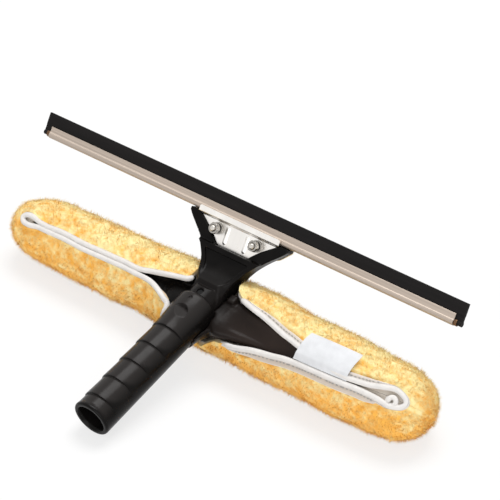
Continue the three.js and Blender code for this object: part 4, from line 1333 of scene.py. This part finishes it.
def pile_roots(count, rng):
    """X and angle of the tufts' roots, spread evenly by area and kept off the slit, binding and label."""
    line = np.linspace(-SLEEVE_HALF + 0.1, SLEEVE_HALF - 0.1, 4000)
    reach = sleeve_reach(line)
    weight = reach * np.minimum(np.hypot(1, np.gradient(reach, line)), 6)
    total = np.cumsum(weight)
    x = np.interp(rng.uniform(0, total[-1], count), total, line)
    degrees = rng.uniform(-180, 180, count) + 45
    lower, upper = slit_edges(x)
    flange = 3.2 * flange_share(x)
    per_mm = np.degrees(1 / np.maximum(sleeve_reach(x), 6))
    below = per_mm * (3.0 + flange)
    above = per_mm * (3.0 + 0.7 * flange - 2.6 * stretch(x, *BEHIND_NECK))
    by_slit = (x > -165.5) & (x < 175.5)
    open_slit = by_slit & ((degrees - lower + below) % 360 < upper - lower + below + above)
    under_label = (x > LABEL_X[0] - 1) & (x < LABEL_X[1] + 1)
    under_label &= (degrees > LABEL_ANGLES[0] - 3) & (degrees < LABEL_ANGLES[1] + 2)
    keep = ~(open_slit | under_label)
    return x[keep], degrees[keep]


def facing(vectors, towards):
    """Vectors turned round where they point away from the direction towards."""
    return vectors * np.sign(np.einsum("ij,ij->i", vectors, towards))[:, None]


def pile_directions(x, degrees):
    """Outward normal of the pile's outside and its directions along X and round the sleeve.

    The directions run to the points a small step towards the middle and a small turn further.
    """
    here = round_sleeve(x, sleeve_outside(x, degrees), degrees)
    step = np.where(x > 0, -0.3, 0.3)
    ahead = round_sleeve(x + step, sleeve_outside(x + step, degrees), degrees)
    beside = round_sleeve(x, sleeve_outside(x, degrees + 0.5), degrees + 0.5)
    along_dir = unit(ahead - here) * np.sign(step)[:, None]
    round_dir = unit(beside - here)
    from_axis = here - (0, *SLEEVE_AXIS)
    from_axis[:, 0] = 1e-3 * x
    return facing(unit(np.cross(along_dir, round_dir)), from_axis), along_dir, round_dir


def build_pile(settings, plush):
    """Pile: thin combed tufts all over the sleeve's clumps, in a few pieces along X.

    A tuft leaves its root along a mix of the surface's normal and a combing direction that drifts from
    place to place, and bends over towards its tip. Its section is a triangle with the ridge outwards,
    so it is a three-sided taper of two rings and a tip.
    """
    rng = np.random.default_rng(20)
    x, degrees = pile_roots(settings.pile_count, rng)
    tufts = len(x)
    clumps = clump_height(x, degrees)
    sunk = np.maximum(sleeve_outside(x, degrees) - TUFT_ROOT_DEPTH + clumps, 0.2)
    root = round_sleeve(x, sunk, degrees)
    normal, along_dir, round_dir = pile_directions(x, degrees)

    comb = 3.2 * ripple(x / 16, np.radians(degrees) * 1.6, seed=31) + rng.normal(0, 0.7, tufts)
    lean = unit(np.cos(comb)[:, None] * along_dir + np.sin(comb)[:, None] * round_dir)
    tall = rng.uniform(0.25, 0.95, tufts)[:, None]
    heading = unit(tall * normal + (1 - tall) * lean)
    length = settings.pile_length / MM * (0.65 + 1.1 * rng.random(tufts) ** 2)[:, None]
    middle = root + 0.55 * length * heading
    tip = root + length * unit(heading + 0.25 * lean)
    wide = rng.uniform(*TUFT_HALF_WIDTH, tufts)[:, None]
    across = wide * unit(np.cross(heading, normal))
    ridge = 0.6 * facing(np.cross(across, heading), normal)
    rings = [place_of + way for place_of in (root, middle) for way in (-across, across, ridge)]
    points = np.stack(rings + [tip], 1)
    points[..., 2] = np.maximum(points[..., 2], 0.15)
    quads = np.array([(0, 1, 4, 3), (1, 2, 5, 4), (2, 0, 3, 5)])
    triangles = np.array([(2, 1, 0), (3, 4, 6), (4, 5, 6), (5, 3, 6)])

    # Share of pale for each tuft: painted shade in the hollows, painted light on top, and a random part
    tone = np.clip(0.5 * clumps - 0.2 + painted_top_light(degrees) + rng.normal(0, 0.2, tufts), 0, 1)
    band = np.searchsorted(np.quantile(x, np.linspace(0, 1, PILE_PIECES + 1)[1:-1]), x)
    for index in range(PILE_PIECES):
        chosen = band == index
        some = points[chosen]
        start = len(TUFT_PAINTED_SHADE) * np.arange(len(some))[:, None, None]
        faces = [(start + quads).reshape(-1, 4), (start + triangles).reshape(-1, 3)]
        mesh = mesh_of(f"fleece_pile_{index + 1}", some.reshape(-1, 3) * MM, faces)
        # Painted shade along each tuft, deep at the root and pale at the tip
        point_values(mesh, "tip", np.tile(TUFT_PAINTED_SHADE, len(some)))
        point_values(mesh, "tuft", np.repeat(tone[chosen], len(TUFT_PAINTED_SHADE)))
        piece(mesh, plush, "handle_and_yoke", (), 180)


def binding_frame():
    """Binding's centre line with its tangent, the sleeve's outward direction and the way from the slit.

    The route's points lie on the sleeve at their own lift; the way from the slit is square to the
    tangent and to the outward direction, on the outside of the closed loop.
    """
    x, degrees, lift = np.array(BINDING_ROUTE, float).T
    radius = sleeve_reach(x, PACKED_HALF) - BINDING_SINK + lift
    x, degrees, radius = closed_spline(np.stack([x, degrees, radius], 1), ROUTE_POINTS).T
    route = round_sleeve(x, radius, degrees + lip_wave(x))
    tangent = unit(np.roll(route, -1, 0) - np.roll(route, 1, 0))
    outward = unit((route - (0, *SLEEVE_AXIS)) * (0, 1, 1))
    outward = unit(outward - np.einsum("ij,ij->i", outward, tangent)[:, None] * tangent)
    return route, tangent, outward, np.cross(outward, tangent)


def flange_place(away, flange):
    """Distance from the binding's middle at which a place on its flange lies, by the flange's share."""
    return FLANGE_ROOT + (away - FLANGE_ROOT) * (0.04 + 0.96 * flange)


def binding_section(route, flange):
    """Section of the binding at every point of its route, as distances away from the slit and outwards.

    It is a circle that opens into the flange. It is smaller beside the neck, where the tape is tucked
    in, and a little uneven all along.
    """
    x, y, z = route.T
    angle_on_sleeve = np.degrees(np.arctan2(z - SLEEVE_AXIS[1], SLEEVE_AXIS[0] - y))
    tucked = smoothstep(angle_on_sleeve, 73, 80) * stretch(np.abs(x), *BESIDE_NECK)
    full = (1 - 0.7 * tucked)[:, None]
    wobble = full * (1 + 0.05 * ripple(np.arange(len(route)) / 23, seed=3)[:, None])
    angle = np.radians(np.linspace(28, 318, 24))
    seam_away, seam_out = np.array(FLANGE_EDGE).T
    away = [BINDING_RADIUS * np.cos(angle) * wobble, flange_place(seam_away, flange) * full]
    out = [BINDING_RADIUS * np.sin(angle) * wobble, seam_out * full]
    return np.concatenate(away, 1), np.concatenate(out, 1)


def build_binding(settings):
    """Binding: a rolled edge with a sewn flange, as one section carried round the slit, and its stitches.

    The flange lies on the side away from the slit. It is widest along the right half of the lips and
    shrinks into the roll at the left and in the loops.
    """
    route, tangent, outward, away = binding_frame()
    lower_lip = np.arange(len(route)) > len(route) // 2
    flange = (np.where(lower_lip, 1.0, 0.62) * flange_share(route[:, 0]))[:, None]
    a, b = binding_section(route, flange)
    grid = route[:, None] + a[..., None] * away[:, None] + b[..., None] * outward[:, None]
    mesh = mesh_of("rolled_binding", *looped_tube(grid * MM))
    walked = walked_length(route)
    around = np.cumsum(np.hypot(np.diff(a, axis=1), np.diff(b, axis=1)), 1)
    around = np.pad(around, ((0, 0), (1, 0)))
    places = np.stack(np.broadcast_arrays(walked[:, None], around), -1)
    corner_places(mesh, "tape", places.reshape(-1, 2))
    raw = np.zeros(a.shape)
    raw[:, RAW_TAPE] = 0.7 * flange
    point_values(mesh, "raw", raw)
    tape = woven_cloth("binding_tape", settings.binding, 0.42, 0.00012, "tape")
    piece(mesh, tape, "handle_and_yoke", ["slit_binding"], 60)
    build_curl(tape)

    spots = np.searchsorted(walked, np.arange(1.0, walked[-1], STITCH_PITCH))
    spots = spots[flange[spots, 0] > 0.35]
    across = flange_place(STITCH_AWAY, flange[spots[0], 0])
    build_stitches(settings, across, [ways[spots] for ways in (route, tangent, away, outward)])


def build_stitches(settings, across, frames):
    """Stitches on the flange: short threads of five five-sided rings, bowed outwards, thin at both ends.

    All lie in one row, at the distance across from the roll's middle. Frames holds each stitch's place
    and its directions along the tape, away from the slit and outwards.
    """
    spot, tangent, away, outward = (ways[:, None, None] for ways in frames)
    t = np.linspace(-1, 1, 5)[:, None]
    ring = np.radians(np.arange(0, 360, 72))
    size = np.sqrt(np.maximum(1 - t ** 2, 0)) * 0.28 + 0.06
    local_away = across + size * np.cos(ring)
    local_out = 0.62 + 0.3 * (1 - t ** 2) + size * np.sin(ring)
    local_along = STITCH_HALF * t
    thread = (spot + local_along[..., None] * tangent + local_away[..., None] * away
              + local_out[..., None] * outward)
    one = grid_faces(5, 5, wrap_cols=True)
    ends = np.array([(4, 3, 2, 1, 0), (20, 21, 22, 23, 24)])
    start = 25 * np.arange(len(thread))[:, None, None]
    faces = [(start + one).reshape(-1, 4), (start + ends).reshape(-1, 5)]
    mesh = mesh_of("binding_stitches", thread.reshape(-1, 3) * MM, faces)
    corner_places(mesh, "tape", np.zeros((len(mesh.vertices), 2)))
    yarn = woven_cloth("stitch_yarn", shade(settings.binding, 0.5)[:3], 2.0, 0.00004, "tape")
    piece(mesh, yarn, "handle_and_yoke")


def build_curl(tape):
    """Turned-in end of the tape inside the right loop: a round section carried along a flat spiral.

    The spiral's radius shrinks evenly with its angle while it rises out of the slit.
    """
    turn = np.radians(np.linspace(150, 600, CURL_POINTS))
    share = np.linspace(0, 1, CURL_POINTS)
    radius = 3.9 - 2.3 * share
    x = CURL_AT[0] + radius * np.cos(turn)
    reach = sleeve_reach(CURL_AT[0], PACKED_HALF)
    degrees = CURL_AT[1] + np.degrees(radius * np.sin(turn) / reach)
    route = round_sleeve(x, reach - 2.6 + 1.8 * share, degrees)
    tangent = unit(np.gradient(route, axis=0))
    outward = unit((route - (0, *SLEEVE_AXIS)) * (0, 1, 1))
    away = np.cross(tangent, outward)
    ring = full_turn(16)
    size = 1.75 * np.sqrt(1 - (2 * np.abs(share - 0.5)) ** 12 * 0.9)[:, None, None]
    section = np.cos(ring)[..., None] * away[:, None] + np.sin(ring)[..., None] * outward[:, None]
    mesh = mesh_of("binding_end", *capped_tube((route[:, None] + size * section) * MM))
    places = np.stack(np.broadcast_arrays(walked_length(route)[:, None], 1.3 * ring), -1)
    corner_places(mesh, "tape", places.reshape(-1, 2))
    piece(mesh, tape, "handle_and_yoke", (), 60)


def build_label(settings):
    """Cloth label folded over the upper lip: a sheet bent round the sleeve that dips into the slit.

    Its radius is the pile's outside plus a small gap; it lies slightly askew over the binding, curls in
    at the lower end, and waves a little. The same surface moved inwards by the cloth's thickness
    closes it.
    """
    u = np.linspace(0, 1, 56)[:, None]
    v = np.linspace(0, 1, 44)[None]
    width = LABEL_X[1] - 1.5 - LABEL_X[0] - 2 * v
    x = LABEL_X[0] + 3.5 * v + width * u + 0.25 * np.sin(7 * v + 2 * u)
    height = LABEL_ANGLES[1] - 2.5 - LABEL_ANGLES[0] - 1.5 * u
    degrees = LABEL_ANGLES[0] + 4 * u + height * v
    curl = 1.6 * (1 - smoothstep(v, 0.0, 0.26))
    wave = 0.25 * ripple(x / 30, v * 1.4, seed=8)
    radius = curve(SLEEVE_RADIUS)(x) + LABEL_OVER - curl + wave
    upper = round_sleeve(x, radius, degrees)
    under = round_sleeve(x, radius - LABEL_THICK, degrees)
    rows, cols = upper.shape[:2]
    count = rows * cols
    grid = np.arange(count).reshape(rows, cols)
    border = np.concatenate([grid[:-1, 0], grid[-1, :-1], grid[:0:-1, -1], grid[0, :0:-1]])
    following = np.roll(border, -1)
    rim = np.stack([border, following, following + count, border + count], 1)
    top = grid_faces(rows, cols)
    faces = [top, top[:, ::-1] + count, rim[:, ::-1]]
    points = np.concatenate([upper.reshape(-1, 3), under.reshape(-1, 3)]) * MM
    mesh = mesh_of("cloth_label", points, faces)
    flat = np.stack(np.broadcast_arrays(LABEL_FLAT[0] * u, LABEL_FLAT[1] * v), -1).reshape(-1, 2)
    corner_places(mesh, "weave", np.concatenate([flat, flat]))
    cloth = woven_cloth("label_cloth", settings.label, 1.1, 0.00003, "weave")
    label = piece(mesh, cloth, "handle_and_yoke", ["sleeve_label"], 40)


# Stage


def softbox(name, towards, distance, wide, high, power, aim):
    """Oblong area light at a distance from aim, facing it."""
    lamp = bpy.data.lights.new(name, "AREA")
    lamp.shape = "RECTANGLE"
    lamp.size = wide
    lamp.size_y = high
    lamp.energy = power
    made = bpy.data.objects.new(name, lamp)
    bpy.context.scene.collection.objects.link(made)
    direction = Vector(towards).normalized()
    made.location = Vector(aim) + direction * distance
    made.rotation_mode = "QUATERNION"
    made.rotation_quaternion = direction.to_track_quat("Z", "Y")


def photo_view(scene):
    """Camera of the photograph: from its azimuth and elevation, set off sideways from its aim."""
    azimuth, elevation = math.radians(CAMERA_AZIMUTH), math.radians(CAMERA_ELEVATION)
    level = math.cos(elevation)
    back = Vector((math.sin(azimuth) * level, -math.cos(azimuth) * level, math.sin(elevation)))
    right = Vector((math.cos(azimuth), math.sin(azimuth), 0))
    up = back.cross(right)
    spot = Vector(CAMERA_AIM) + right * CAMERA_OFFSET[0] + up * CAMERA_OFFSET[1] + back * CAMERA_DISTANCE
    lens = bpy.data.cameras.new("photo_view")
    lens.lens = CAMERA_LENS
    lens.sensor_width = 36.0
    camera = bpy.data.objects.new("photo_view", lens)
    scene.collection.objects.link(camera)
    camera.location = spot * MM
    camera.rotation_mode = "QUATERNION"
    camera.rotation_quaternion = (-back).to_track_quat("-Z", "Y")
    scene.camera = camera


def build_stage(settings):
    """White floor, two softboxes, plain room light and the photographed view."""
    scene = bpy.context.scene
    scene.view_settings.view_transform = "Standard"
    reach = 3.0
    corners = np.array([(-reach, -reach, 0), (reach, -reach, 0), (reach, reach, 0), (-reach, reach, 0)])
    mesh = mesh_of("floor", corners, [np.arange(4)[None]], turn_outwards=False)
    mesh.materials.append(white_floor("floor_white", settings.floor))
    floor = bpy.data.objects.new("floor", mesh)
    scene.collection.objects.link(floor)

    aim = (0.0, 0.0, 0.04)
    softbox("upper_softbox", (-0.1, 0.34, 0.93), 2.2, 1.4, 1.0, settings.key_power, aim)
    softbox("low_softbox", (0.5, -0.76, 0.42), 2.4, 1.8, 1.8, settings.fill_power, aim)

    world = bpy.data.worlds.new("plain_room")
    world.use_nodes = True
    tree = world.node_tree
    strength = ramp(tree, white_rays(tree), settings.sky, 1.0, 0, 1)
    fill(tree, tree.nodes["Background"], {"Color": (1, 1, 1, 1), "Strength": strength})
    scene.world = world
    photo_view(scene)


# Operators and panel


class SQUEEGEE_OT_stage(bpy.types.Operator):
    """Make the floor, the lights and the camera"""

    bl_idname = "squeegee.stage"
    bl_label = "Stage"

    def execute(self, context):
        build_stage(context.scene.squeegee.stage)
        return {"FINISHED"}


class SQUEEGEE_OT_blade(bpy.types.Operator):
    """Make the rubber, its channel and the end clips"""

    bl_idname = "squeegee.blade"
    bl_label = "Blade"

    def execute(self, context):
        build_blade(context.scene.squeegee.blade)
        return {"FINISHED"}


class SQUEEGEE_OT_clamp(bpy.types.Operator):
    """Make the clamp plate, the rear jaw and the fasteners"""

    bl_idname = "squeegee.clamp"
    bl_label = "Clamp"

    def execute(self, context):
        build_clamp(context.scene.squeegee.clamp)
        return {"FINISHED"}


class SQUEEGEE_OT_handle(bpy.types.Operator):
    """Make the stepped handle grip"""

    bl_idname = "squeegee.handle"
    bl_label = "Handle"

    def execute(self, context):
        build_handle(context.scene.squeegee.grip)
        return {"FINISHED"}


class SQUEEGEE_OT_yoke(bpy.types.Operator):
    """Make the yoke, the T-bar and the finish of their screws"""

    bl_idname = "squeegee.yoke"
    bl_label = "Yoke and T-bar"

    def execute(self, context):
        build_yoke(context.scene.squeegee.grip)
        return {"FINISHED"}


class SQUEEGEE_OT_sleeve(bpy.types.Operator):
    """Make the fleece sleeve and its pile"""

    bl_idname = "squeegee.sleeve"
    bl_label = "Sleeve"

    def execute(self, context):
        build_sleeve(context.scene.squeegee.sleeve)
        return {"FINISHED"}


class SQUEEGEE_OT_binding(bpy.types.Operator):
    """Make the rolled binding and its stitches"""

    bl_idname = "squeegee.binding"
    bl_label = "Binding"

    def execute(self, context):
        build_binding(context.scene.squeegee.sleeve)
        return {"FINISHED"}


class SQUEEGEE_OT_label(bpy.types.Operator):
    """Make the bare cloth label"""

    bl_idname = "squeegee.label"
    bl_label = "Label"

    def execute(self, context):
        build_label(context.scene.squeegee.sleeve)
        return {"FINISHED"}


OPERATORS = (
    SQUEEGEE_OT_stage, SQUEEGEE_OT_blade, SQUEEGEE_OT_clamp, SQUEEGEE_OT_handle, SQUEEGEE_OT_yoke,
    SQUEEGEE_OT_sleeve, SQUEEGEE_OT_binding, SQUEEGEE_OT_label,
)


class SQUEEGEE_PT_panel(bpy.types.Panel):
    """Settings and build steps of the squeegee"""

    bl_idname = "SQUEEGEE_PT_panel"
    bl_label = "Window Squeegee"
    bl_space_type = "VIEW_3D"
    bl_region_type = "UI"
    bl_category = "Squeegee"

    def draw(self, context):
        for group in ("blade", "clamp", "grip", "sleeve", "stage"):
            box = self.layout.box()
            box.label(text=group.capitalize())
            settings = getattr(context.scene.squeegee, group)
            for name in settings.__annotations__:
                box.prop(settings, name)
        for operator in OPERATORS:
            self.layout.operator(operator.bl_idname)


CLASSES = (
    BladeSettings, ClampSettings, GripSettings, SleeveSettings, StageSettings, SqueegeeSettings, *OPERATORS,
    SQUEEGEE_PT_panel,
)


def register():
    """Registers the classes and hangs the settings on the scene."""
    for one in CLASSES:
        bpy.utils.register_class(one)
    bpy.types.Scene.squeegee = PointerProperty(type=SqueegeeSettings)


def unregister():
    """Takes the settings off the scene and the classes out again."""
    del bpy.types.Scene.squeegee
    for one in reversed(CLASSES):
        bpy.utils.unregister_class(one)


def main():
    """Registers the add-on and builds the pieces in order."""
    register()
    bpy.ops.squeegee.stage()
    bpy.ops.squeegee.blade()
    bpy.ops.squeegee.clamp()
    bpy.ops.squeegee.handle()
    bpy.ops.squeegee.yoke()
    bpy.ops.squeegee.sleeve()
    bpy.ops.squeegee.binding()
    bpy.ops.squeegee.label()
    bpy.context.view_layer.update()


if __name__ == "__main__":
    main()
